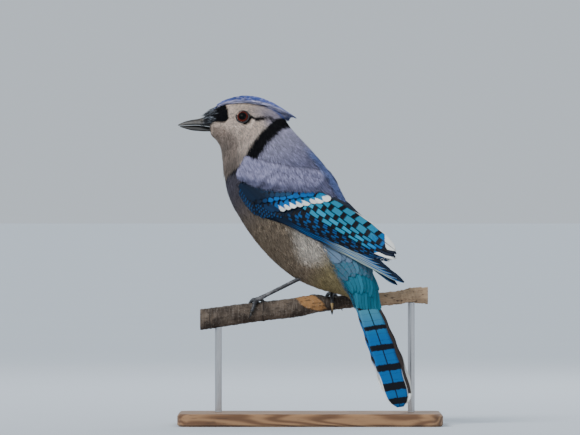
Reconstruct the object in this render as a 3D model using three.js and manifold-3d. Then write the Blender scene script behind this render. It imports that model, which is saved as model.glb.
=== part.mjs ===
// Blue jay, life size, perched on a cut length of branch over a plain display stand.
// Millimetres, +Z up. The origin is the centre of the base's underside.
// The bird looks towards -X; its left side is turned to -Y and its back a little to -Y too.
// Each piece is its own closed solid, 0.3 mm clear of its neighbours.
import * as THREE from 'three';
import { mergeVertices } from 'three/addons/utils/BufferGeometryUtils.js';
import Module from 'manifold-3d';

const wasm = await Module();
wasm.setup();

const GAP = 0.3;
const MID_Y = 21.1; // the middle plane of the head

// Stations of the bird's body from the base of the bill to the root of the tail:
// centre x, y, z, then pitch, yaw and roll of the section in degrees,
// then its half depth from back to belly and its half width
const BODY = [
  [-72.4, 21.1, 217.9, 0, 0, 0, 7.0, 5.6],
  [-68.9, 21.1, 219.2, 10.5, 0, 0, 10.6, 8.8],
  [-62.3, 21.1, 219.8, 20.5, 0, 0, 14.8, 11.8],
  [-57.2, 21.1, 219.1, 28.9, 0, 0, 17.8, 13.4],
  [-51.8, 21.1, 217.0, 37.3, 1, 0, 20.4, 14.6],
  [-42.7, 20.4, 210.4, 52.4, 8, 0, 25.3, 17.0],
  [-37.6, 19.4, 200.3, 61.5, 16, 0, 27.9, 20.8],
  [-28.6, 16.0, 181.7, 64.0, 23, 0, 35.4, 25.4],
  [-16.4, 10.4, 162.7, 61.0, 25, 0, 38.1, 27.4],
  [-3.4, 4.4, 143.6, 55.0, 25, 0, 36.1, 26.4],
  [10.1, -1.9, 126.2, 48.3, 26, 1, 30.4, 22.4],
  [20.5, -7.2, 114.5, 46.0, 29, 5, 23.2, 18.2],
  [30.5, -12.6, 105.0, 50.0, 33, 12, 17.0, 14.6],
  [38.0, -16.8, 96.5, 57.0, 37, 18, 10.0, 12.8],
  [41.0, -19.6, 87.0, 62.0, 40, 22, 4.2, 11.2],
];
const NECK_AT = 5; // the stations where the body is parted
const TORSO_AT = 7;
const RUMP_AT = 11;
const TAIL_AT = 14;
const BODY_SIDES = 24;
const BODY_STEPS = 2; // rings to a station

const BILL_X = -72.4;
// upper half of the bill: x, ridge height, mouth line height, half width
const UPPER_BILL = [
  [-72.7, 222.3, 215.2, 4.6],
  [-77.0, 221.8, 215.8, 4.0],
  [-80.6, 220.7, 216.2, 3.3],
  [-85.2, 220.0, 216.2, 2.6],
  [-89.5, 219.0, 216.0, 1.8],
  [-93.1, 217.6, 215.8, 1.1],
  [-95.3, 216.5, 215.7, 0.45],
];
// lower half: x, mouth line height, keel height, half width
const LOWER_BILL = [
  [-72.7, 214.9, 211.6, 4.3],
  [-77.0, 215.5, 211.6, 3.7],
  [-80.6, 215.9, 211.9, 3.0],
  [-85.2, 215.9, 212.3, 2.3],
  [-89.5, 215.7, 213.4, 1.6],
  [-94.0, 215.5, 214.8, 0.5],
];
const NOSTRIL = { x: -77.6, z: 219.2, long: 1.5, high: 0.7 };
const GAPE_X = -63.4; // where the line of the mouth ends on the cheek

const EYE = { x: -48.61, z: 222.22, side: 13.84, radius: 5.2, sunk: 3.5, lid: 4.55, lidThick: 0.75 };
const EYE_FACING = [-0.092, -0.939, 0.332];

// the crest's ridge from the forehead to its tip behind the head: x, z, half width
const CREST = [
  [-68.6, 229.4, 4.5],
  [-63.6, 232.9, 7.0],
  [-56.3, 235.7, 9.5],
  [-46.9, 237.2, 10.6],
  [-38.3, 236.2, 10.4],
  [-30.3, 233.6, 9.0],
  [-22.3, 229.3, 6.6],
  [-15.1, 224.6, 3.8],
  [-9.4, 221.0, 1.4],
];
const CREST_ROUND = 12.5; // how strongly the crest curves over the crown

// The folded wing lies on a sheet beside the bird. `a` runs from the wrist to the wing tip and `b`
// across the wing towards the back, both from the point WING_FROM in the bird's middle plane.
const WING_FROM = [-17.6, 11.0, 162.0];
const WING_PITCH = 27.4;
const WING_YAW = 25;
const WING_START = -30;
const WING_STEP = 24;
// every WING_STEP: lower edge, upper edge, and the sheet's distance from the middle plane
// at its lower edge, middle and upper edge
const WING_ROWS = [
  [-3.0, 3.0, 24.4, 25.2, 25.6],
  [-15.0, 9.5, 26.2, 29.2, 29.0],
  [-11.5, 17.5, 28.6, 28.8, 24.8],
  [-10.2, 24.0, 25.0, 21.8, 8.0],
  [-10.0, 19.5, 17.2, 13.2, 5.5],
  [-9.8, 10.5, 11.0, 9.0, 5.5],
  [-8.8, -5.5, 7.0, 6.8, 6.4],
];
const WING_CORE = 1.5; // how deep the flesh of the wing lies under the sheet
const WING_CORE_END = 88;
// feathers of one wing in tiers. Each tier: count, root and tip of its first and last feather
// as [a, b], half width, height of the tip over the sheet, how far the root sinks,
// how far the upper edge dips under the next feather, and how far the feather bows
const WING_TIERS = {
  primaries: [6, [5, -7.2], [20, 0.2], [113, -8.3], [80, -1.0], 3.8, 0, 0, 1.0, 1.3],
  secondaries: [4, [16, -3], [30, 8], [94, -0.8], [102, 3.2], 4.4, 0.1, 0, 1.0, 0],
  tertials: [3, [26, 10], [34, 18], [98, 5.2], [80, 14.6], 5.6, 0.4, 0, 1.0, 0.5],
  primaryCoverts: [3, [-16, -10], [-6, -4], [1, -12.6], [12, -5.2], 2.6, 0.5, 0.4, 0.6, 0],
  alula: [2, [-25, -6.5], [-25, -3], [-4, -13.6], [-9, -10], 2.4, 0.9, 0.5, 0.4, -0.6],
  greaterCoverts: [6, [-4, -4.5], [24, 18.5], [8, -4.2], [37, 19.5], 3.3, 0.6, 0.5, 0.5, 0],
  medianCoverts: [5, [-16, -4], [14, 16.8], [-6, -3.2], [25, 18], 3.6, 1.0, 0.6, 0.4, 0],
  lesserCoverts: [3, [-27, -0.5], [-4, 11.5], [-15, -2.5], [9, 13.5], 4.4, 1.4, 0.8, 0.3, 0],
};
const FAR_WING = { length: 0.92, droop: 0.06, out: 0.9 }; // the right wing is folded a little tighter

// The tail hangs from the rump: pitch, yaw and roll of its root, and how it straightens
const TAIL = { pitch: 62, yaw: 40, roll: 22, bend: 7, length: 80.5, pairs: 6 };

// the crest's feathers in rows from the forehead back: places across, root, tip, half width, height
const CREST_ROWS = [
  [[-2.6, 2.6], 0.5, 17, 2.6, 0.6],
  [[-5.4, 0, 5.4], 9, 30, 3.0, 0.5],
  [[-6.6, 0, 6.6], 20, 43, 3.8, 0.4],
  [[-3.4, 3.4], 31, 56, 3.6, 0.3],
  [[-1.8, 1.8], 40, 66.5, 2.8, 0.1],
];
const CREST_LONG = 67;

// bristly tufts over the base of the bill: height and length
const BRISTLES = [[221.2, 8], [218.9, 7], [216.9, 5]];

// a feather's outline: share of its length and share of its half width there
const ROUNDED = [[0, 0.6], [0.5, 1], [0.9, 0.74], [1, 0.24]];
const POINTED = [[0, 0.6], [0.4, 1], [0.8, 0.62], [1, 0.14]];
const TAIL_SHAPE = [[0, 0.86], [0.36, 0.93], [0.74, 1], [0.94, 0.82], [1, 0.3]];
const VANE_THICK = 0.55;
const SHAFT = 0.12; // how far a feather's shaft stands over its vanes

const PERCH_Y = 8;
// the branch: x, height of its middle, radius
const PERCH = [
  [-79.2, 75.8, 7.7],
  [-57.6, 78.7, 7.6],
  [-34.6, 81.7, 7.2],
  [-7.2, 85.0, 7.2],
  [3.6, 87.3, 6.9],
  [14.4, 87.3, 5.4],
  [28.8, 88.9, 4.9],
  [61.2, 91.3, 4.9],
  [72.0, 93.2, 5.4],
  [85.0, 93.1, 6.2],
];

// each leg: its ankle, the inside and the end of the feathering round it, and its place on the branch
const LEGS = [
  { name: 'left', ankle: [-10.8, -1.5, 103.8], thigh: [-2.0, -2.5, 112.0], cuff: [-14.2, -0.6, 101.8], x: -38.4, lean: -20, hallux: -3.6 },
  { name: 'right', ankle: [21.5, 4.5, 103.0], thigh: [22.0, 2.0, 108.0], cuff: [17.0, 6.6, 98.2], x: 15.5, lean: -6, hallux: 0.4 },
];
const TARSUS_R = 1.35;
const HUB_R = 2.0;
const TOE_R = 1.35;
const CLAW_R = 0.85;
const CLAW_LONG = 5.8;
// toes: name, which way round the branch, sideways spread, length
const TOES = [
  ['hallux', -1, 0, 10.0],
  ['inner', 1, -6.0, 12.0],
  ['middle', 1, 0.4, 15.0],
  ['outer', 1, 6.0, 12.5],
];

const BASE = { long: 190, deep: 116, thick: 9, corner: 9, edge: 1.5 };
const RODS = [['left', -66], ['right', 73]];
const ROD_R = 2.5;

const COLOURS = {
  blue: [0x6f7fae, 0.75, 0],
  wing: [0x2f78b8, 0.6, 0],
  tail: [0x3d8dbb, 0.6, 0],
  pale: [0xb9b2ae, 0.85, 0],
  head: [0xc9c6c4, 0.85, 0],
  bill: [0x1d1d20, 0.35, 0],
  leg: [0x2a2726, 0.55, 0],
  eye: [0x2a120b, 0.08, 0],
  bark: [0x6b5647, 0.9, 0],
  wood: [0x8a6a4c, 0.5, 0],
  rod: [0xb0acA4, 0.3, 1],
};

const radians = (degrees) => degrees * Math.PI / 180;
const vec = (p) => new THREE.Vector3(...p);
const mix = (a, b, t) => a + (b - a) * t;

// a smooth curve through rows of numbers, t counting the rows
function smooth(rows, t) {
  const i = Math.min(Math.max(Math.floor(t), 0), rows.length - 2);
  const f = t - i;
  const b = rows[i];
  const c = rows[i + 1];
  const a = rows[i - 1] ?? b.map((v, k) => 2 * v - c[k]);
  const d = rows[i + 2] ?? c.map((v, k) => 2 * v - b[k]);
  const square = (k) => (2 * a[k] - 5 * b[k] + 4 * c[k] - d[k]) * f * f;
  const cube = (k) => (3 * b[k] - a[k] - 3 * c[k] + d[k]) * f * f * f;
  return b.map((v, k) => 0.5 * (2 * v + (c[k] - a[k]) * f + square(k) + cube(k)));
}

// where x lies among rows that start with a rising x
function rowAt(rows, x) {
  let i = 0;
  while (i < rows.length - 2 && rows[i + 1][0] < x) i += 1;
  return i + (x - rows[i][0]) / (rows[i + 1][0] - rows[i][0]);
}

// directions of a section: forwards, to the bird's left, and to its back
function frameAt(pitch, yaw, roll) {
  const [p, a, r] = [pitch, yaw, roll].map(radians);
  const forward = vec([-Math.cos(p) * Math.cos(a), Math.cos(p) * Math.sin(a), Math.sin(p)]);
  const level = vec([-Math.sin(a), -Math.cos(a), 0]);
  const upright = forward.clone().cross(level);
  const left = level.clone().multiplyScalar(Math.cos(r)).addScaledVector(upright, -Math.sin(r));
  const back = upright.clone().multiplyScalar(Math.cos(r)).addScaledVector(level, Math.sin(r));
  return { forward, left, back };
}

// a closed solid from points and triangles, turned so that its faces point out
function solid(points, triangles) {
  let volume = 0;
  for (const [i, j, k] of triangles) {
    volume += points[i].dot(points[j].clone().cross(points[k]));
  }
  const order = volume > 0 ? triangles : triangles.map(([i, j, k]) => [i, k, j]);
  const vertProperties = new Float32Array(points.flatMap((p) => [p.x, p.y, p.z]));
  const triVerts = new Uint32Array(order.flat());
  return new wasm.Manifold(new wasm.Mesh({ numProp: 3, vertProperties, triVerts }));
}

// a solid through rings of points, closed by a flat fan at each end
function loft(rings) {
  const count = rings[0].length;
  const points = rings.flat();
  const triangles = [];
  for (let i = 0; i < rings.length - 1; i += 1) {
    for (let j = 0; j < count; j += 1) {
      const a = i * count + j;
      const b = i * count + (j + 1) % count;
      triangles.push([a, a + count, b], [b, a + count, b + count]);
    }
  }
  const last = (rings.length - 1) * count;
  const middle = (ring) => ring.reduce((s, p) => s.add(p), vec([0, 0, 0])).multiplyScalar(1 / count);
  points.push(middle(rings[0]), middle(rings[rings.length - 1]));
  for (let j = 0; j < count; j += 1) {
    const k = (j + 1) % count;
    triangles.push([points.length - 2, j, k], [points.length - 1, last + k, last + j]);
  }
  return solid(points, triangles);
}

// a thin solid between two equal grids of points, split alike on both faces
function shell(outer, inner) {
  const rows = outer.length;
  const columns = outer[0].length;
  const at = (face, i, j) => (face * rows + i) * columns + j;
  const triangles = [];
  for (let i = 0; i < rows - 1; i += 1) {
    for (let j = 0; j < columns - 1; j += 1) {
      const [a, b, c, d] = [at(0, i, j), at(0, i, j + 1), at(0, i + 1, j + 1), at(0, i + 1, j)];
      const under = rows * columns;
      triangles.push([a, b, c], [a, c, d]);
      triangles.push([a + under, c + under, b + under], [a + under, d + under, c + under]);
    }
  }
  const wall = (a, b, c, d) => triangles.push([a, b, c], [a, c, d]);
  for (let j = 0; j < columns - 1; j += 1) {
    wall(at(0, 0, j + 1), at(0, 0, j), at(1, 0, j), at(1, 0, j + 1));
    wall(at(0, rows - 1, j), at(0, rows - 1, j + 1), at(1, rows - 1, j + 1), at(1, rows - 1, j));
  }
  for (let i = 0; i < rows - 1; i += 1) {
    wall(at(0, i, 0), at(0, i + 1, 0), at(1, i + 1, 0), at(1, i, 0));
    wall(at(0, i + 1, columns - 1), at(0, i, columns - 1), at(1, i, columns - 1), at(1, i + 1, columns - 1));
  }
  return solid([...outer.flat(), ...inner.flat()], triangles);
}

// a feather lying on a surface: surface(x, y, height) gives its points
function feather(surface, root, tip, width, shape, { lift = 0, sink = 0, dip = 0, bow = 0, shaft = 0 } = {}) {
  const edges = shaft > 0 ? [-1, 0, 1] : [-1, 1];
  const run = [tip[0] - root[0], tip[1] - root[1]];
  const long = Math.hypot(...run);
  const across = [-run[1] / long, run[0] / long];
  const face = (depth) => shape.map(([share, wide]) => {
    const side = bow * 4 * share * (1 - share);
    return edges.map((edge) => {
      const off = side + edge * wide * width;
      const height = lift - sink * (1 - share) - dip * (edge + 1) / 2 + (edge === 0 ? shaft : 0) - depth;
      return surface(root[0] + run[0] * share + across[0] * off, root[1] + run[1] * share + across[1] * off, height);
    });
  });
  return shell(face(0), face(VANE_THICK));
}

// a round bar along a smooth path; radius is a function of the share of its length
function bar(path, radius, steps, sides) {
  const curve = new THREE.CatmullRomCurve3(path.map(vec));
  const frames = curve.computeFrenetFrames(steps, false);
  const rings = [];
  for (let i = 0; i <= steps; i += 1) {
    const centre = curve.getPointAt(i / steps);
    const ring = [];
    for (let j = 0; j < sides; j += 1) {
      const turn = 2 * Math.PI * j / sides;
      const r = radius(i / steps);
      ring.push(centre.clone()
        .addScaledVector(frames.normals[i], r * Math.cos(turn))
        .addScaledVector(frames.binormals[i], r * Math.sin(turn)));
    }
    rings.push(ring);
  }
  return loft(rings);
}

// a closed three.js geometry, moved to its place, as a solid
function fromGeometry(geometry, matrix = new THREE.Matrix4()) {
  const bare = geometry.index ? geometry.clone() : mergeVertices(geometry);
  bare.deleteAttribute('normal');
  bare.deleteAttribute('uv');
  const merged = mergeVertices(bare, 1e-4);
  merged.applyMatrix4(matrix);
  const position = merged.attributes.position;
  const points = [];
  for (let i = 0; i < position.count; i += 1) points.push(new THREE.Vector3().fromBufferAttribute(position, i));
  const triangles = [];
  for (let i = 0; i < merged.index.count; i += 3) {
    const corner = [0, 1, 2].map((k) => merged.index.getX(i + k));
    if (new Set(corner).size === 3) triangles.push(corner);
  }
  return solid(points, triangles);
}

const placed = (x, y, z) => new THREE.Matrix4().makeTranslation(x, y, z);

// a ball stretched along each axis
function ball(centre, rx, ry, rz, sides = 20) {
  const matrix = placed(...centre).multiply(new THREE.Matrix4().makeScale(rx, ry, rz));
  return fromGeometry(new THREE.SphereGeometry(1, sides, Math.round(sides * 0.6)), matrix);
}

// the largest closed surface of a solid
function largest(shape) {
  const parts = shape.decompose();
  return parts.reduce((best, part) => (part.volume() > best.volume() ? part : best));
}

const group = new THREE.Group();

// adds a finished piece to the model
function addPiece(name, shape, finish) {
  const mesh = largest(shape).getMesh();
  const geometry = new THREE.BufferGeometry();
  geometry.setAttribute('position', new THREE.Float32BufferAttribute(mesh.vertProperties, 3));
  geometry.setIndex(Array.from(mesh.triVerts));
  const [color, roughness, metalness] = COLOURS[finish];
  const piece = new THREE.Mesh(geometry, new THREE.MeshStandardMaterial({ color, roughness, metalness }));
  piece.name = name;
  group.add(piece);
}

// a point of the body's skin: station, angle from the back towards the left side, distance outside
function bodyPoint(station, angle, grow = 0) {
  const [x, y, z, pitch, yaw, roll, deep, wide] = smooth(BODY, station);
  const { left, back } = frameAt(pitch, yaw, roll);
  return vec([x, y, z])
    .addScaledVector(back, (deep + grow) * Math.cos(angle))
    .addScaledVector(left, (wide + grow) * Math.sin(angle));
}

// a length of the body between two stations
function bodyLength(from, to, grow = 0) {
  const steps = Math.round((to - from) * BODY_STEPS);
  const rings = [];
  for (let i = 0; i <= steps; i += 1) {
    const station = mix(from, to, i / steps);
    rings.push(Array.from({ length: BODY_SIDES }, (_, j) => (
      bodyPoint(station, 2 * Math.PI * (j + 0.5) / BODY_SIDES, grow))));
  }
  return loft(rings);
}

// the share of a station that leaves half a gap at a parting
function halfGap(station) {
  const here = vec(BODY[station].slice(0, 3));
  return GAP / 2 / here.distanceTo(vec(BODY[station - 1].slice(0, 3)));
}

const bodyRoom = bodyLength(0, TAIL_AT, GAP);

// the eye's middle and the way it looks, on the left (1) or right (-1) side
function eyePlace(side) {
  const facing = vec(EYE_FACING);
  facing.y *= side;
  const lidCentre = vec([EYE.x, MID_Y - side * EYE.side, EYE.z]);
  return { facing, lidCentre, centre: lidCentre.clone().addScaledVector(facing, -EYE.sunk) };
}

function eyeball(side, grow = 0) {
  const { centre } = eyePlace(side);
  const r = EYE.radius + grow;
  return ball(centre.toArray(), r, r, r, 14);
}

function eyelid(side) {
  const { facing, lidCentre } = eyePlace(side);
  const turn = new THREE.Quaternion().setFromUnitVectors(vec([0, 0, 1]), facing);
  const inset = lidCentre.clone().addScaledVector(facing, -0.25);
  const matrix = new THREE.Matrix4().compose(inset, turn, vec([1, 1, 1]));
  return fromGeometry(new THREE.TorusGeometry(EYE.lid, EYE.lidThick, 6, 14), matrix);
}

// a half of the bill: rings across it, round above the mouth line or below it
function billHalf(rows) {
  const sides = 12;
  const rings = rows.map(([x, far, near, wide]) => {
    const top = Math.max(far, near);
    const flat = rows === UPPER_BILL ? near : far;
    const round = rows === UPPER_BILL ? far : near;
    const ring = [];
    for (let j = 0; j <= sides; j += 1) {
      const turn = Math.PI * j / sides;
      const lift = Math.sin(turn) ** 0.8;
      ring.push(vec([x, MID_Y + wide * Math.cos(turn), mix(flat, round, lift)]));
    }
    return top > 0 ? ring : [];
  });
  return loft(rings);
}

// a cut along the cheek that carries the line of the mouth back from the bill
function mouthCut(side) {
  const from = vec([BILL_X + 1, MID_Y - side * 5.2, 215.1]);
  const to = vec([GAPE_X, MID_Y - side * 11.6, 214.5]);
  const along = to.clone().sub(from);
  const turn = new THREE.Quaternion().setFromUnitVectors(vec([1, 0, 0]), along.clone().normalize());
  const matrix = new THREE.Matrix4().compose(from.clone().add(to).multiplyScalar(0.5), turn, vec([1, 1, 1]));
  return fromGeometry(new THREE.BoxGeometry(along.length() + 5, 2.6, 0.6), matrix);
}

// a bristly tuft that lies forwards along the bill without touching it
function bristle(side, height, long) {
  const surface = (x, y, out) => vec([-68.5 - x, MID_Y - side * (5.35 + out - 0.045 * x), height + y]);
  return feather(surface, [0, 0.4], [3.9 + long, -0.8], 1.1, POINTED);
}

function head() {
  let shape = bodyLength(0, NECK_AT - halfGap(NECK_AT));
  for (const side of [1, -1]) {
    shape = shape.add(eyelid(side)).subtract(eyeball(side, GAP)).subtract(mouthCut(side));
    for (const [height, long] of BRISTLES) shape = shape.add(bristle(side, height, long));
  }
  return shape;
}

// a point of the crest: share of its length, distance across, height above its surface
function crestPoint(share, across, height) {
  const [x, z] = smooth(CREST, share * (CREST.length - 1));
  const [x2, z2] = smooth(CREST, share * (CREST.length - 1) + 0.01);
  const along = vec([x2 - x, 0, z2 - z]).normalize();
  const up = vec([-along.z, 0, along.x]);
  const turn = across / CREST_ROUND;
  return vec([x, MID_Y, z])
    .addScaledVector(up, (CREST_ROUND + height) * Math.cos(turn) - CREST_ROUND)
    .add(vec([0, -(CREST_ROUND + height) * Math.sin(turn), 0]));
}

function crest() {
  const rows = 6;
  const columns = 2;
  const grid = (height) => Array.from({ length: rows + 1 }, (_, i) => {
    const share = mix(0.02, 0.86, i / rows);
    const wide = smooth(CREST, share * (CREST.length - 1))[2];
    return Array.from({ length: columns + 1 }, (__, j) => crestPoint(share, wide * (2 * j / columns - 1), height));
  });
  const surface = (x, y, height) => crestPoint(x / CREST_LONG, y, height);
  const pieces = [shell(grid(0), grid(-2.6))];
  for (const [places, root, tip, width, lift] of CREST_ROWS) {
    for (const place of places) {
      const drawn = Math.abs(place) * 0.35; // outer feathers end a little sooner
      const ends = [[root, place * 0.8], [tip - drawn, place]];
      pieces.push(feather(surface, ...ends, width, POINTED, { lift, sink: 0.5 }));
    }
  }
  return wasm.Manifold.union(pieces).subtract(bodyLength(0, TORSO_AT, GAP));
}

const wingFrame = frameAt(WING_PITCH, WING_YAW, 0);

// a point of the folded wing's sheet, before it is lifted
function wingSheet(side, a, b) {
  const far = side < 0 ? 1 : 0;
  const stretch = far && a > 0 ? a / FAR_WING.length : a;
  const [low, high, lowOut, midOut, highOut] = smooth(WING_ROWS, (stretch - WING_START) / WING_STEP);
  const t = THREE.MathUtils.clamp((b - low) / (high - low), -0.25, 1.25);
  const out = lowOut * (1 - t) * (1 - 2 * t) + midOut * 4 * t * (1 - t) + highOut * t * (2 * t - 1);
  const drop = far * FAR_WING.droop * Math.max(a, 0);
  return vec(WING_FROM)
    .addScaledVector(wingFrame.forward, -a)
    .addScaledVector(wingFrame.back, b - drop)
    .addScaledVector(wingFrame.left, side * (out + far * FAR_WING.out));
}

function wingPoint(side, a, b, height) {
  const step = 0.5;
  const here = wingSheet(side, a, b);
  const alongA = wingSheet(side, a + step, b).sub(here);
  const alongB = wingSheet(side, a, b + step).sub(here);
  const out = alongA.cross(alongB).normalize();
  if (out.dot(wingFrame.left) * side < 0) out.negate();
  return here.addScaledVector(out, height);
}

// the flesh of the wing, thin and wholly under its feathers
function wingCore(side, surface) {
  const rows = 8;
  const columns = 2;
  const grid = (depth) => Array.from({ length: rows + 1 }, (_, i) => {
    const a = mix(WING_START + 2, WING_CORE_END, i / rows);
    const [low, high] = smooth(WING_ROWS, (a - WING_START) / WING_STEP);
    const raise = mix(0.3, -0.8, THREE.MathUtils.smoothstep(a, 10, 50));
    return Array.from({ length: columns + 1 }, (__, j) => (
      surface(a, mix(low + 1, high - 1, j / columns), depth || raise)));
  });
  return shell(grid(0), grid(-WING_CORE));
}

function wing(side) {
  const reach = (a) => (side < 0 && a > 0 ? a * FAR_WING.length : a);
  const surface = (a, b, height) => wingPoint(side, reach(a), b, height);
  const pieces = [wingCore(side, surface)];
  for (const [count, root, lastRoot, tip, lastTip, width, lift, sink, dip, bow] of Object.values(WING_TIERS)) {
    for (let i = 0; i < count; i += 1) {
      const share = i / (count - 1);
      const ends = [[root, lastRoot], [tip, lastTip]].map(([p, q]) => p.map((v, k) => mix(v, q[k], share)));
      pieces.push(feather(surface, ...ends, width, ROUNDED, { lift, sink, dip, bow }));
    }
  }
  return wasm.Manifold.union(pieces).subtract(bodyRoom);
}

// a point of the tail: distance from its root, distance across to the left, height above its middle
function tailPoint(along, across, height) {
  const [x, y, z] = BODY[TAIL_AT];
  const { forward } = frameAt(TAIL.pitch, TAIL.yaw, TAIL.roll);
  const low = frameAt(TAIL.pitch + TAIL.bend, TAIL.yaw, TAIL.roll);
  const t = along / TAIL.length;
  const path = forward.clone().multiplyScalar(-along * (1 - t / 2)).addScaledVector(low.forward, -along * t / 2);
  return vec([x, y, z]).add(path).addScaledVector(low.left, across).addScaledVector(low.back, height);
}

function tail() {
  const pieces = [];
  for (let pair = 0; pair < TAIL.pairs; pair += 1) {
    for (const side of [1, -1]) {
      const place = side * (0.8 + 0.75 * pair);
      const ends = [[GAP, place * 0.45], [TAIL.length - 1.9 * pair, place]];
      const lift = 1.4 - 0.42 * pair - (side < 0 ? 0.2 : 0);
      pieces.push(feather(tailPoint, ...ends, 9.9 - 0.12 * pair, TAIL_SHAPE, { lift, shaft: SHAFT }));
    }
  }
  return wasm.Manifold.union(pieces).subtract(bodyRoom);
}

// the branch's middle height and radius above x
function branchAt(x) {
  const [, z, r] = smooth(PERCH, rowAt(PERCH, x));
  return { z, r };
}

// a point round the branch: along x, degrees from its top towards the far side, distance off the bark
function roundBranch(x, degrees, off) {
  const { z, r } = branchAt(x);
  const turn = radians(degrees);
  return [x, PERCH_Y + (r + off) * Math.sin(turn), z + (r + off) * Math.cos(turn)];
}

function perch(grow = 0) {
  const steps = 22;
  const sides = 12;
  const rings = [];
  for (let i = 0; i <= steps; i += 1) {
    const x = mix(PERCH[0][0], PERCH[PERCH.length - 1][0], i / steps);
    rings.push(Array.from({ length: sides }, (_, j) => vec(roundBranch(x, 360 * j / sides, grow))));
  }
  return loft(rings);
}

const perchRoom = perch(GAP);

function hubOf(leg) {
  return roundBranch(leg.x, leg.lean, GAP + HUB_R * 0.9);
}

function tarsus(leg, grow = 0) {
  const hub = hubOf(leg);
  const radius = (t) => grow + TARSUS_R * (1 + 0.35 * Math.abs(2 * t - 1) ** 3);
  const shaft = bar([leg.ankle, hub.map((v, k) => mix(leg.ankle[k], v, 0.5)), hub], radius, 5, 8);
  const r = HUB_R + grow;
  const knee = TARSUS_R * 1.35 + grow;
  return shaft.add(ball(leg.ankle, knee, knee, knee, 8)).add(ball(hub, r * 1.15, r, r * 0.9, 10)).subtract(perchRoom).subtract(bodyRoom);
}

function thigh(leg) {
  const radius = (t) => mix(7.0, 3.3, t ** 0.8);
  const middle = leg.thigh.map((v, k) => mix(v, leg.cuff[k], 0.5));
  return bar([leg.thigh, middle, leg.cuff], radius, 4, 11).subtract(bodyRoom).subtract(tarsus(leg, GAP));
}

// where a toe's middle runs, from the hub to its end, and on along its claw
function toePlace(leg, toe, share) {
  const [name, way, spread, long] = toe;
  const x = leg.x + (name === 'hallux' ? leg.hallux : spread) * share ** 0.8;
  const { r } = branchAt(x);
  const reach = 180 / Math.PI * long / (r + TOE_R);
  return { x, degrees: leg.lean + way * reach * share };
}

function toeBar(leg, toe, grow = 0) {
  const path = [];
  for (let i = 0; i <= 5; i += 1) {
    const { x, degrees } = toePlace(leg, toe, i / 5);
    path.push(roundBranch(x, degrees, GAP + TOE_R));
  }
  const radius = (t) => grow + TOE_R * (mix(1, 0.84, t) + 0.1 * Math.cos(6 * Math.PI * t) - 0.1);
  return bar(path, radius, 6, 6);
}

function claw(leg, toe) {
  const end = toePlace(leg, toe, 1);
  const way = toe[1];
  const { r } = branchAt(end.x);
  const turn = 180 / Math.PI / (r + CLAW_R);
  const path = [];
  for (let i = 0; i <= 4; i += 1) {
    const degrees = end.degrees + way * turn * (GAP + 0.1 + CLAW_LONG * i / 4);
    const lift = GAP + CLAW_R + 0.5 * Math.sin(Math.PI * i / 4) + 0.6 * i / 4;
    path.push(roundBranch(end.x, degrees, lift));
  }
  return bar(path, (t) => mix(CLAW_R, 0.22, t ** 1.3), 5, 6).subtract(perchRoom).subtract(bodyRoom);
}

function standBase() {
  const { long, deep, thick, corner, edge } = BASE;
  const [w, d, c] = [long / 2 - edge, deep / 2 - edge, corner];
  const outline = new THREE.Shape();
  outline.moveTo(-w + c, -d);
  outline.lineTo(w - c, -d);
  outline.absarc(w - c, -d + c, c, -Math.PI / 2, 0);
  outline.lineTo(w, d - c);
  outline.absarc(w - c, d - c, c, 0, Math.PI / 2);
  outline.lineTo(-w + c, d);
  outline.absarc(-w + c, d - c, c, Math.PI / 2, Math.PI);
  outline.lineTo(-w, -d + c);
  outline.absarc(-w + c, -d + c, c, Math.PI, 1.5 * Math.PI);
  const bevel = { bevelThickness: edge, bevelSize: edge, bevelSegments: 1, curveSegments: 4 };
  const geometry = new THREE.ExtrudeGeometry(outline, { depth: thick - 2 * edge, ...bevel });
  return fromGeometry(geometry, placed(0, 0, edge));
}

function rod(x) {
  const foot = BASE.thick + GAP;
  const top = branchAt(x).z;
  const upright = placed(x, PERCH_Y, (foot + top) / 2).multiply(new THREE.Matrix4().makeRotationX(Math.PI / 2));
  return fromGeometry(new THREE.CylinderGeometry(ROD_R, ROD_R, top - foot, 18), upright).subtract(perchRoom);
}

function upperBill() {
  let shape = billHalf(UPPER_BILL);
  for (const side of [1, -1]) {
    const pit = [NOSTRIL.x, MID_Y - side * 3.3, NOSTRIL.z];
    shape = shape.subtract(ball(pit, NOSTRIL.long, 0.8, NOSTRIL.high, 8));
  }
  return shape;
}

addPiece('head', head(), 'head');
addPiece('bill_upper', upperBill(), 'bill');
addPiece('bill_lower', billHalf(LOWER_BILL), 'bill');
addPiece('eye_left', eyeball(1), 'eye');
addPiece('eye_right', eyeball(-1), 'eye');
addPiece('crest', crest(), 'blue');
addPiece('neck', bodyLength(NECK_AT + halfGap(NECK_AT), TORSO_AT - halfGap(TORSO_AT)), 'blue');
addPiece('torso', bodyLength(TORSO_AT + halfGap(TORSO_AT), RUMP_AT - halfGap(RUMP_AT)), 'pale');
addPiece('rump', bodyLength(RUMP_AT + halfGap(RUMP_AT), TAIL_AT), 'tail');
addPiece('wing_left', wing(1), 'wing');
addPiece('wing_right', wing(-1), 'wing');
addPiece('tail', tail(), 'tail');

for (const leg of LEGS) {
  const legRoom = tarsus(leg, GAP);
  addPiece(`thigh_${leg.name}`, thigh(leg), 'pale');
  addPiece(`tarsus_${leg.name}`, tarsus(leg), 'leg');
  for (const toe of TOES) {
    let shape = toeBar(leg, toe).subtract(legRoom).subtract(perchRoom).subtract(bodyRoom);
    if (toe[0] !== 'middle') shape = shape.subtract(toeBar(leg, TOES[2], GAP));
    addPiece(`toe_${leg.name}_${toe[0]}`, shape, 'leg');
    addPiece(`claw_${leg.name}_${toe[0]}`, claw(leg, toe), 'bill');
  }
}

addPiece('perch', perch(), 'bark');
addPiece('stand_base', standBase(), 'wood');
for (const [name, x] of RODS) addPiece(`stand_rod_${name}`, rod(x), 'rod');

export default group;
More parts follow.
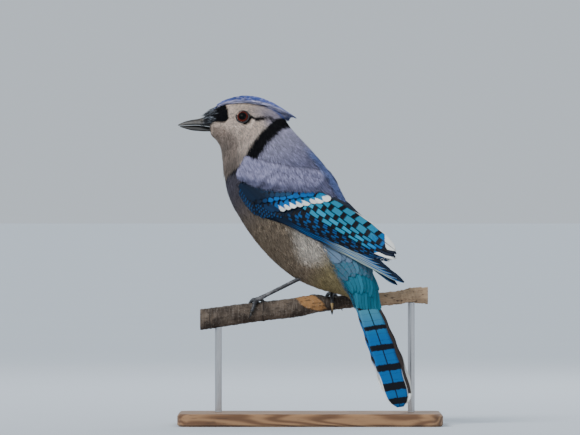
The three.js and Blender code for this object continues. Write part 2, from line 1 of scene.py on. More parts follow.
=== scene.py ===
# %% [markdown]
# A life-size blue jay on a branch, as a museum would mount it. The imported solids give the true
# sizes and places. This lesson puts one skin inside them, covers it with feathers that are real
# mesh, and gives each finish its nodes. The frame is loaded first, because every later piece is
# placed in its metres.
# %% Load the imported frame
import math

import bpy
import numpy as np
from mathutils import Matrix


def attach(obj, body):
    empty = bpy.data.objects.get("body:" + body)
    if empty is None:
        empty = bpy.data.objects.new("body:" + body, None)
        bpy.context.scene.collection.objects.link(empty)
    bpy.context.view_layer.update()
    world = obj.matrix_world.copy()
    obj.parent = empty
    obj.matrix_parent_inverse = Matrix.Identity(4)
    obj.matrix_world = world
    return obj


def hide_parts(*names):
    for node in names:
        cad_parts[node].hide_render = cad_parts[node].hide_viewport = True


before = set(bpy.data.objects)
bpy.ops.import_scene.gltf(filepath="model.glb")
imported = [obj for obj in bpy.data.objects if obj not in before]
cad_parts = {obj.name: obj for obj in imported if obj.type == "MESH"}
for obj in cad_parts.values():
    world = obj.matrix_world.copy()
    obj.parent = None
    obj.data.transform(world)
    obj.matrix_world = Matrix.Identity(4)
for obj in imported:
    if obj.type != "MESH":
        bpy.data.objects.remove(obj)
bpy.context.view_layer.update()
MM = 0.001
RANDOM = np.random.default_rng(7)

# %% [markdown]
# The photographer stood level with the bird and far away. A long lens six metres off keeps those
# nearly parallel lines. The lens follows from how wide the picture is at the bird.
# %% Camera
FAR = 6.0
PICTURE_WIDE = 0.4176
SENSOR_WIDE = 36
SEES_TO = 400
LENS_AT = (-0.0144, -FAR, 0.1494)
camera_data = bpy.data.cameras.new("long_lens")
camera_data.sensor_width = SENSOR_WIDE
camera_data.lens = SENSOR_WIDE * FAR / PICTURE_WIDE
camera_data.clip_end = SEES_TO
camera = bpy.data.objects.new("long_lens", camera_data)
camera.location = LENS_AT
camera.rotation_euler = (math.pi / 2, 0, 0)
bpy.context.scene.collection.objects.link(camera)
bpy.context.scene.camera = camera
print("lens", round(camera_data.lens, 1))

# %% [markdown]
# The photograph was taken in bright sun from the left. A soft sun lights bird and floor alike, a
# weak panel fills from the right, and another behind the bird lifts its back and crest. The rest
# comes from a pale even sky.
# %% Lights and world
# name: place in metres, width and power
PANELS = {
    "fill_panel": [(1.6, -1.6, 0.6), 1.2, 5],
    "back_panel": [(0.6, 1.5, 1.5), 1.0, 14],
}
SUN_FROM = (-0.55, -0.75, 0.9)
SUN_POWER = 2.6
SUN_SOFT = 0.35
SKY = (0.74, 0.82, 0.90)
SKY_POWER = 0.80
AIM = (0.0, 0.0, 0.14)


def hang(name, light, place):
    """A light that looks at the bird from its place."""
    lamp = bpy.data.objects.new(name, light)
    lamp.location = place
    away = np.array(place) - np.array(AIM)
    turn = math.atan2(away[0], -away[1])
    tilt = math.atan2(math.hypot(away[0], away[1]), away[2])
    lamp.rotation_euler = (tilt, 0, turn)
    bpy.context.scene.collection.objects.link(lamp)


for name, (place, wide, power) in PANELS.items():
    panel = bpy.data.lights.new(name, "AREA")
    panel.size = wide
    panel.energy = power
    hang(name, panel, place)
sun = bpy.data.lights.new("hazy_sun", "SUN")
sun.energy = SUN_POWER
sun.angle = SUN_SOFT
hang("hazy_sun", sun, SUN_FROM)
world = bpy.data.worlds.new("pale_sky")
bpy.context.scene.world = world
world.use_nodes = True
world.node_tree.nodes["Background"].inputs["Color"].default_value = (*SKY, 1)
world.node_tree.nodes["Background"].inputs["Strength"].default_value = SKY_POWER
print("lights", len(bpy.data.lights))

# %% [markdown]
# Finishes are written as sums. A Knob is one socket of the node tree, and Python's operators on
# it add Math nodes, so a mask can be written the way it is thought of.
# %% Shader maths
MIX_FIRST = 6
MIX_SECOND = 7
MIX_OUT = 2


class Knob:
    """One socket that carries a value, with Python's operators for shader maths."""

    def __init__(self, finish, socket):
        self.finish = finish
        self.socket = socket

    def sum(self, operation, first, second=0.0):
        return self.finish.node("ShaderNodeMath", {"operation": operation}, {0: first, 1: second})

    def __add__(self, other):
        return self.sum("ADD", self, other)

    def __radd__(self, other):
        return self.sum("ADD", other, self)

    def __sub__(self, other):
        return self.sum("SUBTRACT", self, other)

    def __rsub__(self, other):
        return self.sum("SUBTRACT", other, self)

    def __mul__(self, other):
        return self.sum("MULTIPLY", self, other)

    def __rmul__(self, other):
        return self.sum("MULTIPLY", other, self)

    def __truediv__(self, other):
        return self.sum("DIVIDE", self, other)

    def __rtruediv__(self, other):
        return self.sum("DIVIDE", other, self)

    def __abs__(self):
        return self.sum("ABSOLUTE", self)

    def wrap(self):
        """The part after the whole number."""
        return self.sum("FRACT", self)


class Finish:
    """A material, with one method that adds any node and a few short names for common ones."""

    def __init__(self, name, **fixed):
        self.material = bpy.data.materials.new(name)
        self.material.use_nodes = True
        self.tree = self.material.node_tree
        self.shader = self.tree.nodes["Principled BSDF"]
        for key, value in fixed.items():
            self.shader.inputs[key.replace("_", " ")].default_value = value

    def put(self, socket, value):
        if isinstance(value, Knob):
            self.tree.links.new(value.socket, socket)
        elif isinstance(value, (tuple, list)) and len(value) == 3 and socket.type == "RGBA":
            socket.default_value = (*value, 1)
        else:
            socket.default_value = value

    def node(self, kind, settings=None, inputs=None, out=0):
        made = self.tree.nodes.new(kind)
        for key, value in (settings or {}).items():
            if key == "stops":
                for number, (place, level) in enumerate(value):
                    stops = made.color_ramp.elements
                    stop = stops[number] if number < 2 else stops.new(place)
                    stop.position = place
                    stop.color = (level, level, level, 1)
            else:
                setattr(made, key, value)
        for key, value in (inputs or {}).items():
            self.put(made.inputs[key], value)
        return Knob(self, made.outputs[out])

    def number(self, name):
        """One of the numbers stored on the piece's points."""
        return self.node("ShaderNodeAttribute", {"attribute_name": name}, out=2)

    def place(self, name):
        """One of the places stored on the piece's points."""
        return self.node("ShaderNodeAttribute", {"attribute_name": name}, out=1)

    def edge(self, value, low, high):
        """0 below low, 1 above high, and a soft step between."""
        settings = {"interpolation_type": "SMOOTHSTEP"}
        return self.node("ShaderNodeMapRange", settings, {0: value, 1: low, 2: high})

    def curve(self, value, points):
        """A line through the points (x, y), straight between them."""
        xs = [x for x, _ in points]
        ys = [y for _, y in points]
        wide = max(xs) - min(xs)
        tall = max(max(ys) - min(ys), 1e-6)
        stops = [((x - min(xs)) / wide, (y - min(ys)) / tall) for x, y in points]
        ramp = self.node("ShaderNodeValToRGB", {"stops": stops}, {0: (value - min(xs)) / wide})
        return ramp * tall + min(ys)

    def mix(self, first, second, share):
        inputs = {0: share, MIX_FIRST: first, MIX_SECOND: second}
        return self.node("ShaderNodeMix", {"data_type": "RGBA"}, inputs, out=MIX_OUT)

    def shade(self, colour, level):
        """A colour made lighter or darker by a value."""
        settings = {"data_type": "RGBA", "blend_type": "MULTIPLY"}
        inputs = {0: 1.0, MIX_FIRST: colour, MIX_SECOND: self.grey(level)}
        return self.node("ShaderNodeMix", settings, inputs, out=MIX_OUT)

    def grey(self, level):
        return self.node("ShaderNodeCombineColor", None, {0: level, 1: level, 2: level})

    def point(self, x, y, z=0.0):
        return self.node("ShaderNodeCombineXYZ", None, {0: x, 1: y, 2: z})

    def noise(self, vector, scale, detail=3.0):
        inputs = {"Vector": vector, "Scale": scale, "Detail": detail}
        return self.node("ShaderNodeTexNoise", None, inputs)

    def where(self):
        """The point's own place in metres, as the mesh has it."""
        return self.node("ShaderNodeTexCoord", None, None, out=3)

    def bump(self, height, strength, distance):
        inputs = {"Height": height, "Strength": strength, "Distance": distance}
        self.put(self.shader.inputs["Normal"], self.node("ShaderNodeBump", None, inputs))

    def finish(self, colour=None, roughness=None):
        if colour is not None:
            self.put(self.shader.inputs["Base Color"], colour)
        if roughness is not None:
            self.put(self.shader.inputs["Roughness"], roughness)
        return self.material


print("shader maths ready")

# %% [markdown]
# Blender's mesh can be filled straight from arrays, which is fast enough for a coat of two hundred
# thousand blades. Every piece goes through one maker, in millimetres, with the values that its
# finish reads stored on its points and its own unwrap.
# %% Mesh maker
def make_piece(name, points, triangles, material, values=None, unwrap=None, slot=None, replaces=()):
    """A closed piece from arrays, riding on the one body of this still object."""
    points = np.asarray(points, np.float32) * MM
    triangles = np.asarray(triangles, np.int32)
    mesh = bpy.data.meshes.new(name)
    mesh.vertices.add(len(points))
    mesh.vertices.foreach_set("co", points.ravel())
    mesh.loops.add(triangles.size)
    mesh.loops.foreach_set("vertex_index", triangles.ravel())
    mesh.polygons.add(len(triangles))
    mesh.polygons.foreach_set("loop_start", np.arange(0, triangles.size, 3, dtype=np.int32))
    mesh.update(calc_edges=True)
    mesh.shade_smooth()
    for key, value in (values or {}).items():
        value = np.asarray(value, np.float32)
        kind = "FLOAT_VECTOR" if value.ndim == 2 else "FLOAT"
        stored = mesh.attributes.new(key, kind, "POINT")
        stored.data.foreach_set("vector" if value.ndim == 2 else "value", value.ravel())
    if unwrap is not None:
        layer = mesh.uv_layers.new(name="OFBake")
        layer.data.foreach_set("uv", np.asarray(unwrap, np.float32)[triangles.ravel()].ravel())
    mesh.materials.append(material)
    piece = bpy.data.objects.new(name, mesh)
    bpy.context.scene.collection.objects.link(piece)
    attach(piece, "root")
    if replaces:
        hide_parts(*replaces)
    print(name, len(triangles), "triangles")
    return piece


def joined(parts):
    """Several (points, triangles) as one pair."""
    points = []
    triangles = []
    total = 0
    for some_points, some_triangles in parts:
        points.append(some_points)
        triangles.append(some_triangles + total)
        total += len(some_points)
    return np.concatenate(points), np.concatenate(triangles)


def loft(rings, hoop=False):
    """A closed skin over rings of points. The ends are capped, or in a hoop joined to each other."""
    rings = np.asarray(rings, float)
    rows, sides = rings.shape[:2]
    row, side = np.meshgrid(np.arange(rows if hoop else rows - 1), np.arange(sides), indexing="ij")
    a = (row * sides + side).ravel()
    b = (row * sides + (side + 1) % sides).ravel()
    c = ((row + 1) % rows * sides + side).ravel()
    d = ((row + 1) % rows * sides + (side + 1) % sides).ravel()
    walls = np.concatenate([np.stack([a, c, b], 1), np.stack([b, c, d], 1)])
    if hoop:
        return rings.reshape(-1, 3), walls
    ends = np.stack([rings[0].mean(0), rings[-1].mean(0)])
    turn = np.arange(sides)
    first = np.stack([np.full(sides, rows * sides), turn, (turn + 1) % sides], 1)
    last_row = (rows - 1) * sides
    last = np.stack([np.full(sides, rows * sides + 1), last_row + (turn + 1) % sides, last_row + turn], 1)
    return np.concatenate([rings.reshape(-1, 3), ends]), np.concatenate([walls, first, last])


def unit(vectors):
    return vectors / np.maximum(np.linalg.norm(vectors, axis=-1, keepdims=True), 1e-9)


def dot(first, second):
    return (first * second).sum(-1)


# %% [markdown]
# The body's solid was drawn as oval sections along a bent line, from the bill to the tail's root.
# The same few sections are repeated here, so that skin and coat follow the solid exactly. A place
# on the body is a station along that line and an angle round it: 0 on the back, 90 on the bird's
# left flank, 180 under the belly. Feathers, markings and unwrap all use these two numbers.
# %% The body's sections
MID_Y = 21.1
# x, y, z, then pitch, yaw and roll in degrees, then half the depth and half the width
BODY = np.array([
    [-72.4, MID_Y, 217.9, 0, 0, 0, 7.0, 5.6],
    [-68.9, MID_Y, 219.2, 10.5, 0, 0, 10.6, 8.8],
    [-62.3, MID_Y, 219.8, 20.5, 0, 0, 14.8, 11.8],
    [-57.2, MID_Y, 219.1, 28.9, 0, 0, 17.8, 13.4],
    [-51.8, MID_Y, 217.0, 37.3, 1, 0, 20.4, 14.6],
    [-42.7, 20.4, 210.4, 52.4, 8, 0, 25.3, 17.0],
    [-37.6, 19.4, 200.3, 61.5, 16, 0, 27.9, 20.8],
    [-28.6, 16.0, 181.7, 64.0, 23, 0, 35.4, 25.4],
    [-16.4, 10.4, 162.7, 61.0, 25, 0, 38.1, 27.4],
    [-3.4, 4.4, 143.6, 55.0, 25, 0, 36.1, 26.4],
    [10.1, -1.9, 126.2, 48.3, 26, 1, 30.4, 22.4],
    [20.5, -7.2, 114.5, 46.0, 29, 5, 23.2, 18.2],
    [30.5, -12.6, 105.0, 50.0, 33, 12, 17.0, 14.6],
    [38.0, -16.8, 96.5, 57.0, 37, 18, 10.0, 12.8],
    [41.0, -19.6, 87.0, 62.0, 40, 22, 4.2, 11.2],
])
LAST = len(BODY) - 1


def smooth(rows, at):
    """A smooth line through the rows at places counted from the first, all places at once."""
    rows = np.asarray(rows, float)
    at = np.atleast_1d(np.asarray(at, float))
    padded = np.vstack([2 * rows[0] - rows[1], rows, 2 * rows[-1] - rows[-2]])
    low = np.clip(np.floor(at).astype(int), 0, len(rows) - 2)
    f = (at - low)[:, None]
    p0, p1, p2, p3 = (padded[low + k] for k in range(4))
    cubic = (3 * p1 - p0 - 3 * p2 + p3) * f**3
    return 0.5 * (2 * p1 + (p2 - p0) * f + (2 * p0 - 5 * p1 + 4 * p2 - p3) * f**2 + cubic)


def axes(pitch, yaw, roll):
    """Forward, left and back directions of a section."""
    p, a, r = (np.radians(np.atleast_1d(x))[:, None] for x in (pitch, yaw, roll))
    forward = np.hstack([-np.cos(p) * np.cos(a), np.cos(p) * np.sin(a), np.sin(p)])
    level = np.hstack([-np.sin(a), -np.cos(a), np.zeros_like(a)])
    upright = np.cross(forward, level)
    return forward, level * np.cos(r) - upright * np.sin(r), upright * np.cos(r) + level * np.sin(r)


def body_point(station, angle, grow=0.0):
    """The point at a station and an angle, grow millimetres outside the section."""
    station = np.atleast_1d(np.asarray(station, float))
    angle = np.broadcast_to(np.asarray(angle, float), station.shape)
    row = smooth(BODY, station)
    forward, left, back = axes(row[:, 3], row[:, 4], row[:, 5])
    deep = (row[:, 6] + grow) * np.cos(angle)
    wide = (row[:, 7] + grow) * np.sin(angle)
    return row[:, :3] + back * deep[:, None] + left * wide[:, None]


def body_directions(station, angle):
    """Steps along and round the body, and the outward direction."""
    small = 0.02
    along = (body_point(station + small, angle) - body_point(station - small, angle)) / (2 * small)
    round_it = (body_point(station, angle + small) - body_point(station, angle - small)) / (2 * small)
    out = unit(np.cross(along, round_it))
    centre = smooth(BODY, station)[:, :3]
    flip = np.sign(dot(out, body_point(station, angle) - centre))
    return along, round_it, out * flip[:, None]


# station and depth in millimetres
COAT_DEPTH = [(0, 0.5), (1, 0.9), (3, 1.2), (5, 1.8), (6, 2.6), (7.5, 3.2), (11, 3.0), (13, 2.0), (14, 1.0)]


def coat_depth(station):
    """How deep the feathers lie over the skin: thin on the face, thick on the breast."""
    return np.interp(station, *zip(*COAT_DEPTH))


def body_unwrap(station, angle):
    """The skin's own flat map."""
    return np.stack([(angle / math.tau + 0.5) % 1.0, 0.02 + 0.96 * station / LAST], 1)


print("body length", LAST, "stations")

# %% [markdown]
# The plumage finish is one recipe for skin and feathers, so that a gap between feathers never
# shows a wrong colour. It reads the station and angle stored for each feather, not the point
# itself, as a small feather has one colour. Borders between fields are drawn as lines of angle
# against station, and a little noise frays them. Each blade is painted darker towards its root,
# and the skin beneath darker still: painted shade where the feathers lie over each other.
# %% Plumage finish
CROWN = (0.08, 0.125, 0.40)
CREST_TIP = (0.34, 0.33, 0.50)
FACE = (0.80, 0.64, 0.53)
THROAT = (0.50, 0.385, 0.315)
LORES = (0.004, 0.004, 0.006)
COLLAR = (0.012, 0.011, 0.013)
NAPE = (0.72, 0.67, 0.84)
MANTLE = (0.21, 0.21, 0.37)
STRIP = (0.19, 0.27, 0.58)
BREAST = (0.17, 0.15, 0.18)
BELLY = (0.31, 0.235, 0.165)
FLANK = (0.72, 0.63, 0.53)
VENT = (0.38, 0.30, 0.15)
RUMP = (0.05, 0.19, 0.30)
# angle, then station and half width of the black necklace
COLLAR_LINE = [(0, 5.6), (34, 5.55), (69, 5.88), (83, 6.12), (98, 6.32), (109, 6.46), (128, 6.44), (152, 6.5),
               (180, 6.6)]
COLLAR_WIDE = [(0, 0.25), (40, 0.36), (83, 0.38), (96, 0.26), (106, 0.1), (152, 0.05), (180, 0.04)]
# station, then the angle of each border along the bird
CROWN_LOW = [(0, 20), (0.7, 22), (1.4, 18), (2.0, 20), (2.6, 24), (3.4, 24), (4.1, 22), (4.6, 18), (5.2, 14),
             (5.7, 10), (14, 10)]
LORE_TOP = [(0.2, 34), (0.7, 26), (1.3, 20), (1.6, 28), (1.95, 55), (2.35, 80), (14, 180)]
LORE_FOOT = [(0.2, 76), (0.5, 92), (1.4, 99), (2.1, 100), (2.45, 92), (2.7, 60), (14, 0)]
EYE_LINE = [(3.9, 72), (4.3, 67), (4.7, 59), (4.9, 48), (5.3, 33), (5.7, 8), (14, 8)]
BACK_BORDER = [(5.5, 112), (6.5, 108), (7.5, 96), (8.6, 86), (9.6, 72), (10.4, 70), (11.2, 78), (12.2, 90),
               (13.2, 112), (14, 120)]


def plumage():
    f = Finish("plumage", Roughness=0.85, Specular_IOR_Level=0.06, Sheen_Weight=0.04, Sheen_Roughness=0.6)
    root = f.place("root")
    fray = f.noise(root, 330.0) - 0.5
    drift = f.noise(root, 95.0) - 0.5
    station = f.number("station") + fray * 0.28 + drift * 0.16
    angle = abs(f.number("angle")) + fray * 10.0 + drift * 7.0
    collar_at = f.curve(angle, COLLAR_LINE)
    collar_wide = f.curve(angle, COLLAR_WIDE)
    behind = f.edge(station - collar_at, -0.04, 0.06)
    collar = f.edge(collar_wide - abs(station - collar_at), -0.04, 0.05)
    crown = f.edge(f.curve(station, CROWN_LOW) - angle, -4.0, 4.0)
    lore_low = f.curve(station, LORE_TOP)
    lore_high = f.curve(station, LORE_FOOT)
    lores = f.edge(angle - lore_low, -3.0, 3.0) * f.edge(lore_high - angle, -3.0, 3.0)
    eye_line = f.edge(5.0 - abs(angle - f.curve(station, EYE_LINE)), -3.0, 3.0) * f.edge(station, 4.0, 4.2)
    throat = f.edge(angle, 104.0, 122.0)
    streak = f.noise(f.point(f.number("station") * 1.3, f.number("angle") * 0.35), 5.5, 4.0)
    head = f.mix(FACE, THROAT, throat)
    head = f.shade(head, 1.0 - throat * f.edge(streak, 0.48, 0.6) * 0.5)
    behind_eye = f.edge(station, 3.6, 5.2) * f.edge(66.0 - angle, 0.0, 26.0)
    head = f.mix(head, CREST_TIP, behind_eye * 0.7)
    crown_tint = f.mix(CROWN, CREST_TIP, f.edge(f.noise(root, 700.0), 0.5, 0.66) * 0.75)
    head = f.mix(head, crown_tint, crown)
    head = f.mix(head, LORES, lores)
    head = f.mix(head, COLLAR, eye_line)
    fade = f.curve(station, [(5.6, 1), (6.3, 0.75), (7.2, 0.25), (9, 0.1), (14, 0)])
    mantle = f.mix(MANTLE, NAPE, fade * 0.9)
    strip = f.edge(13.0 - angle, -2.0, 3.0) * f.edge(station, 6.6, 7.2)
    mantle = f.mix(mantle, STRIP, strip * 0.75)
    strip_edge = f.edge(1.6 - abs(angle - 14.0), -1.0, 1.0) * f.edge(station, 6.8, 7.4)
    mantle = f.mix(mantle, COLLAR, strip_edge * 0.7)
    mantle = f.mix(mantle, RUMP, f.edge(station, 9.6, 10.8))
    under = f.mix(BREAST, BELLY, f.edge(station, 6.9, 8.6))
    flank = f.edge(1.0 - abs(station - 9.95) * 0.75 - abs(angle - 88.0) * 0.028 + fray * 0.8, 0.0, 0.5)
    under = f.mix(under, FLANK, flank)
    under = f.mix(under, VENT, f.edge(station, 10.2, 11.4))
    border = f.curve(station, BACK_BORDER)
    body = f.mix(mantle, under, f.edge(angle - border, -7.0, 7.0))
    body = f.shade(body, 0.62 + f.edge(streak, 0.3, 0.7) * 0.7)
    whole = f.mix(head, body, behind)
    whole = f.mix(whole, COLLAR, collar)
    # painted shade: each blade darker towards its root, where it lies under others; tone varies at random
    along = f.number("along")
    level = (0.34 + along * 0.92) * (0.48 + f.number("tone") * 1.04)
    f.bump(f.noise(f.where(), 2600.0), 0.35, 0.0004)
    return f.finish(f.shade(whole, level))


PLUMAGE = plumage()
print("plumage nodes", len(PLUMAGE.node_tree.nodes))

# %% [markdown]
# One skin runs from the bill to the tail's root, so that no seam shows between head, neck and
# body. It lies inside the solids by the depth of the coat. A small hollow is pressed in at each
# eye, where the ball will sit.
# %% Eye places
EYE_X = -48.61
EYE_Z = 222.22
EYE_SIDE = 13.84
EYE_RADIUS = 5.2
EYE_SUNK = 3.5
LID_RADIUS = 4.55
SIDES = {"left": 1, "right": -1}


def eye_place(side):
    """Centre of the lids, centre of the ball and the way the eye looks."""
    lids = np.array([EYE_X, MID_Y - side * EYE_SIDE, EYE_Z])
    facing = np.array([-0.092, -0.939 * side, 0.332])
    return lids, lids - facing * EYE_SUNK, facing


# %% Skin
SKIN_ROWS = 230
SKIN_SIDES = 120
SKIN_FROM = 0.06
SKIN_TO = LAST - 0.05
HOLLOW_REACH = 6.5
HOLLOW_DEEP = 3.6


def body_skin():
    rows = np.linspace(SKIN_FROM, SKIN_TO, SKIN_ROWS)
    turns = np.linspace(-math.pi, math.pi, SKIN_SIDES, endpoint=False)
    station, angle = (x.ravel() for x in np.meshgrid(rows, turns, indexing="ij"))
    depth = coat_depth(station)
    half = smooth(BODY, station)[:, 6:8].min(1) / 2
    points = body_point(station, angle, -np.minimum(depth, half))
    for side in SIDES.values():
        lids, _, facing = eye_place(side)
        near = np.linalg.norm(points - lids, axis=1)
        pressed = np.clip(1 - near / HOLLOW_REACH, 0, 1) ** 0.8
        points = points - facing * (pressed * HOLLOW_DEEP)[:, None]
    points, triangles = loft(points.reshape(SKIN_ROWS, SKIN_SIDES, 3))
    all_station = np.concatenate([station, [SKIN_FROM, SKIN_TO]])
    all_angle = np.concatenate([angle, [0, 0]])
    values = {
        "station": all_station,
        "angle": np.degrees(all_angle),
        "root": points * MM,
        # painted shade: along 0.15 paints the skin with the dark of the feather roots, as shade in the coat's
        # gaps
        "along": np.full(len(points), 0.15),
        "tone": np.full(len(points), 0.5),
    }
    unwrap = body_unwrap(all_station, all_angle)
    hidden = ("head", "neck", "torso", "rump")
    return make_piece("skin", points, triangles, PLUMAGE, values, unwrap, "face_grey", hidden)


body_skin()

# %% [markdown]
# A small body feather shows only its loose tip, a brush of soft barbs. Each is built as a tuft of
# a few thin closed blades from one root. A blade is a flat spindle with its root in the skin, its
# middle on the coat and its tip bent back down to the body's own curve.
# %% Blades
BLADE = np.array([[0, 1, 3], [0, 3, 2], [0, 2, 1], [4, 3, 1], [4, 2, 3], [4, 1, 2]])
BLADE_THICK = 0.32
PATCH = 0.003
PATCH_SHAPE = np.array([[0, 0], [-1, 1], [1, 1], [0, 1.1], [0, 2]])


def blades(root, middle, tip, out, width):
    """Flat spindles, one a row: points, triangles, how far along each point lies and its unwrap."""
    count = len(root)
    flow = unit(tip - root)
    side = unit(np.cross(out, flow))
    thick = width * BLADE_THICK
    points = np.stack([root, middle - side * (width / 2)[:, None], middle + side * (width / 2)[:, None],
                       middle + out * thick[:, None], tip], 1)
    triangles = BLADE[None] + 5 * np.arange(count)[:, None, None]
    along = np.tile([0.0, 0.55, 0.55, 0.6, 1.0], count)
    patch = np.tile(PATCH_SHAPE * PATCH / 2, (count, 1))
    return points.reshape(-1, 3), triangles.reshape(-1, 3), along, patch


def tufts(root, middle, tip, out, width, stored):
    """Blades with numbers stored for each of them: points, triangles, values and unwrap."""
    points, triangles, along, patch = blades(root, middle, tip, out, width)
    five = np.repeat(np.arange(len(root)), 5)
    values = {key: np.asarray(value)[five] for key, value in stored.items() if key != "unwrap"}
    values["along"] = along
    return points, triangles, values, stored["unwrap"][five] + patch


def with_bed(made, bed):
    """Tufts and the bed of skin under them as the arrays of one piece."""
    points, triangles = joined([made[:2], bed[:2]])
    values = {key: np.concatenate([value, bed[2][key]]) for key, value in made[2].items()}
    return points, triangles, values, np.concatenate([made[3], bed[3]])


# the first two powers of one over the plastic number
EVEN_STEPS = (0.7548776662, 0.5698402910)


def spread_evenly(count, seed):
    """Places in the unit square that never clump."""
    number = np.arange(count) + seed
    return tuple((0.5 + number * step) % 1.0 for step in EVEN_STEPS)


# %% Where a wing lies against the body
WING_FROM = np.array([-17.6, 11.0, 162.0])
WING_START = -30.0
WING_STEP = 24.0
WING_HIDES_TO = 92.0
# at each step along the wing: its lower and upper edge, then how far out its sheet lies at the
# lower edge, the middle and the upper edge
WING_ROWS = np.array([
    [-3, 3, 24.4, 24.9, 24.4],
    [-15, 9.5, 26.2, 29.0, 27.4],
    [-11.5, 17.5, 28.6, 28.8, 23.4],
    [-10.2, 24, 25.0, 21.8, 8.0],
    [-10, 19.5, 17.2, 13.2, 5.5],
    [-9.8, 10.5, 11.0, 9.0, 5.5],
    [-8.8, -5.5, 7.0, 6.8, 6.4],
])
WING_FORWARD, WING_LEFT, WING_BACK = (v[0] for v in axes(27.4, 25, 0))
FAR_SHORT = 0.92
FAR_DROOP = 0.06
FAR_OUT = 0.9


def under_wing(points, margin):
    """True where a body feather would be hidden by a folded wing."""
    from_wrist = points - WING_FROM
    a = -dot(from_wrist, WING_FORWARD)
    b = dot(from_wrist, WING_BACK)
    row = smooth(WING_ROWS, np.clip((a - WING_START) / WING_STEP, 0, 6))
    inside = (b > row[:, 0] + margin) & (b < row[:, 1] - margin * 1.6)
    return inside & (a > WING_START + 2 * margin) & (a < WING_HIDES_TO)


print("wing from", WING_FROM)

# %% [markdown]
# The coat is laid in pieces, each under the export's limit of triangles. Roots are spread evenly
# over the skin by its area. A feather's length, fan and lift change along the body: short and
# tight on the face, long and loose on the belly. Roots under a wing or on an eye are left out.
# %% The coat's recipe
BLADES_A_TUFT = 4
WING_MARGIN = 5.0
EYE_MARGIN = 0.75


def coat_roots(start, end, count, seed, keep):
    """Stations and angles spread evenly over the body's area, without hidden or unwanted ones."""
    fine = np.linspace(start, end, 60)
    along, round_it, _ = body_directions(fine, np.full(60, math.pi / 2))
    round_back = body_directions(fine, np.zeros(60))[1]
    girth = np.linalg.norm(round_it, axis=1) + np.linalg.norm(round_back, axis=1)
    area = np.linalg.norm(along, axis=1) * girth
    total = np.concatenate([[0], np.cumsum((area[1:] + area[:-1]) / 2)])
    first, second = spread_evenly(count, seed)
    station = np.interp(first * total[-1], total, fine) + RANDOM.normal(0, 0.012, count)
    angle = (second * 2 - 1) * math.pi + RANDOM.normal(0, 0.02, count)
    places = body_point(station, angle)
    wanted = ~under_wing(places, WING_MARGIN)
    for side in SIDES.values():
        wanted &= np.linalg.norm(places - eye_place(side)[0], axis=1) > LID_RADIUS + EYE_MARGIN
    if keep is not None:
        wanted &= keep(station, np.degrees(np.abs(angle)))
    return station[wanted], angle[wanted]


def coat(name, span, count, seed, slot, length, width, fan, lift, ruffle=0.0, keep=None):
    """One coat piece. length, width and lift are (at the span's start, at its end), in millimetres."""
    start, end = span
    station, angle = coat_roots(start, end, count, seed, keep)
    tone = RANDOM.random(len(station))
    station, angle, tone = (np.repeat(x, BLADES_A_TUFT) for x in (station, angle, tone))
    share = np.clip((station - start) / (end - start), 0, 1)
    total = len(station)

    def varied(ends, low, high):
        return (ends[0] + (ends[1] - ends[0]) * share) * RANDOM.uniform(low, high, total)

    heading = RANDOM.uniform(-fan, fan, total)
    long = varied(length, 0.72, 1.15)
    wide = varied(width, 0.7, 1.25)
    high = varied(lift, 0.2, 1.3)
    high = high * (1 + ruffle * np.clip((np.degrees(np.abs(angle)) - 95) / 40, 0, 1))
    along, round_it, out = body_directions(station, angle)
    station_long = np.linalg.norm(along, axis=1)
    station_step = long * np.cos(heading) / station_long
    angle_step = long * np.sin(heading) / np.maximum(np.linalg.norm(round_it, axis=1), 2.0)
    deep = np.minimum(coat_depth(station), 0.5 * smooth(BODY, station)[:, 6])
    root = body_point(station, angle, -deep - 0.3)
    middle = body_point(station + station_step * 0.55, angle + angle_step * 0.5, -0.55 * deep + high * 0.6)
    tip = body_point(station + station_step, angle + angle_step, -0.25 * deep + high)
    stored = {
        "station": np.minimum(station + 0.6 * long / station_long, LAST),
        "angle": np.degrees(angle),
        "root": body_point(station, angle) * MM,
        "tone": np.clip(tone + RANDOM.normal(0, 0.12, total), 0, 1),
        "unwrap": body_unwrap(station, angle),
    }
    points, triangles, values, unwrap = tufts(root, middle, tip, out, wide, stored)
    return make_piece(name, points, triangles, PLUMAGE, values, unwrap, slot)


# %% [markdown]
# The head's coat is the finest: the closer a feather grows to the bill, the shorter it is. The
# neck and mantle feathers are long and hair-like, and the belly's are loose and fluffy.
# %% Coat pieces
UNDER = 100.0
FLANK_FROM = UNDER - 25

coat("coat_face", (0.25, 3.4), 8200, 0, "face_grey", (2.2, 4.2), (0.30, 0.38), 0.34, (0.35, 0.6), 1.0)
coat("coat_head", (3.3, 5.5), 8200, 11, "face_grey", (4.2, 7.0), (0.38, 0.44), 0.34, (0.55, 0.7), 1.3)
coat("coat_neck", (5.4, 7.2), 8200, 23, "mantle_grey", (7.5, 10.0), (0.42, 0.5), 0.30, (0.7, 0.8))
coat("coat_mantle", (7.1, 10.4), 8200, 37, "mantle_grey", (9.0, 9.0), (0.6, 0.6), 0.26, (0.6, 0.5),
     keep=lambda s, a: a < UNDER)
coat("coat_breast", (7.1, 8.9), 7800, 41, "belly_grey", (9.0, 10.0), (0.6, 0.65), 0.34, (0.5, 0.7),
     keep=lambda s, a: a >= UNDER)
coat("coat_belly", (8.8, 11.0), 7800, 53, "belly_grey", (10.0, 10.0), (0.65, 0.65), 0.42, (0.8, 1.2),
     keep=lambda s, a: a >= FLANK_FROM)
coat("coat_rump", (10.3, 13.3), 8000, 67, "rump_blue", (8.0, 8.0), (0.6, 0.6), 0.28, (0.4, 0.3),
     keep=lambda s, a: ((s > 11) | (a < FLANK_FROM)) & ((s < 12.2) | (a > 95)))

# %% [markdown]
# Stiff feathers of wings and tail are flat vanes on a shaft. One maker bends a vane over any
# surface given as a function of two places and a height. Both faces use the same grid, so a thin
# vane never crosses itself. It stores where each point lies along and across the feather, because
# bars, edges and tips are drawn there.
# %% Vane maker
VANE_THICK = 0.5
CAMBER = 0.22
SHAFT_HIGH = 0.14
SHAFT_WIDE = 0.09
WAVY = 0.04
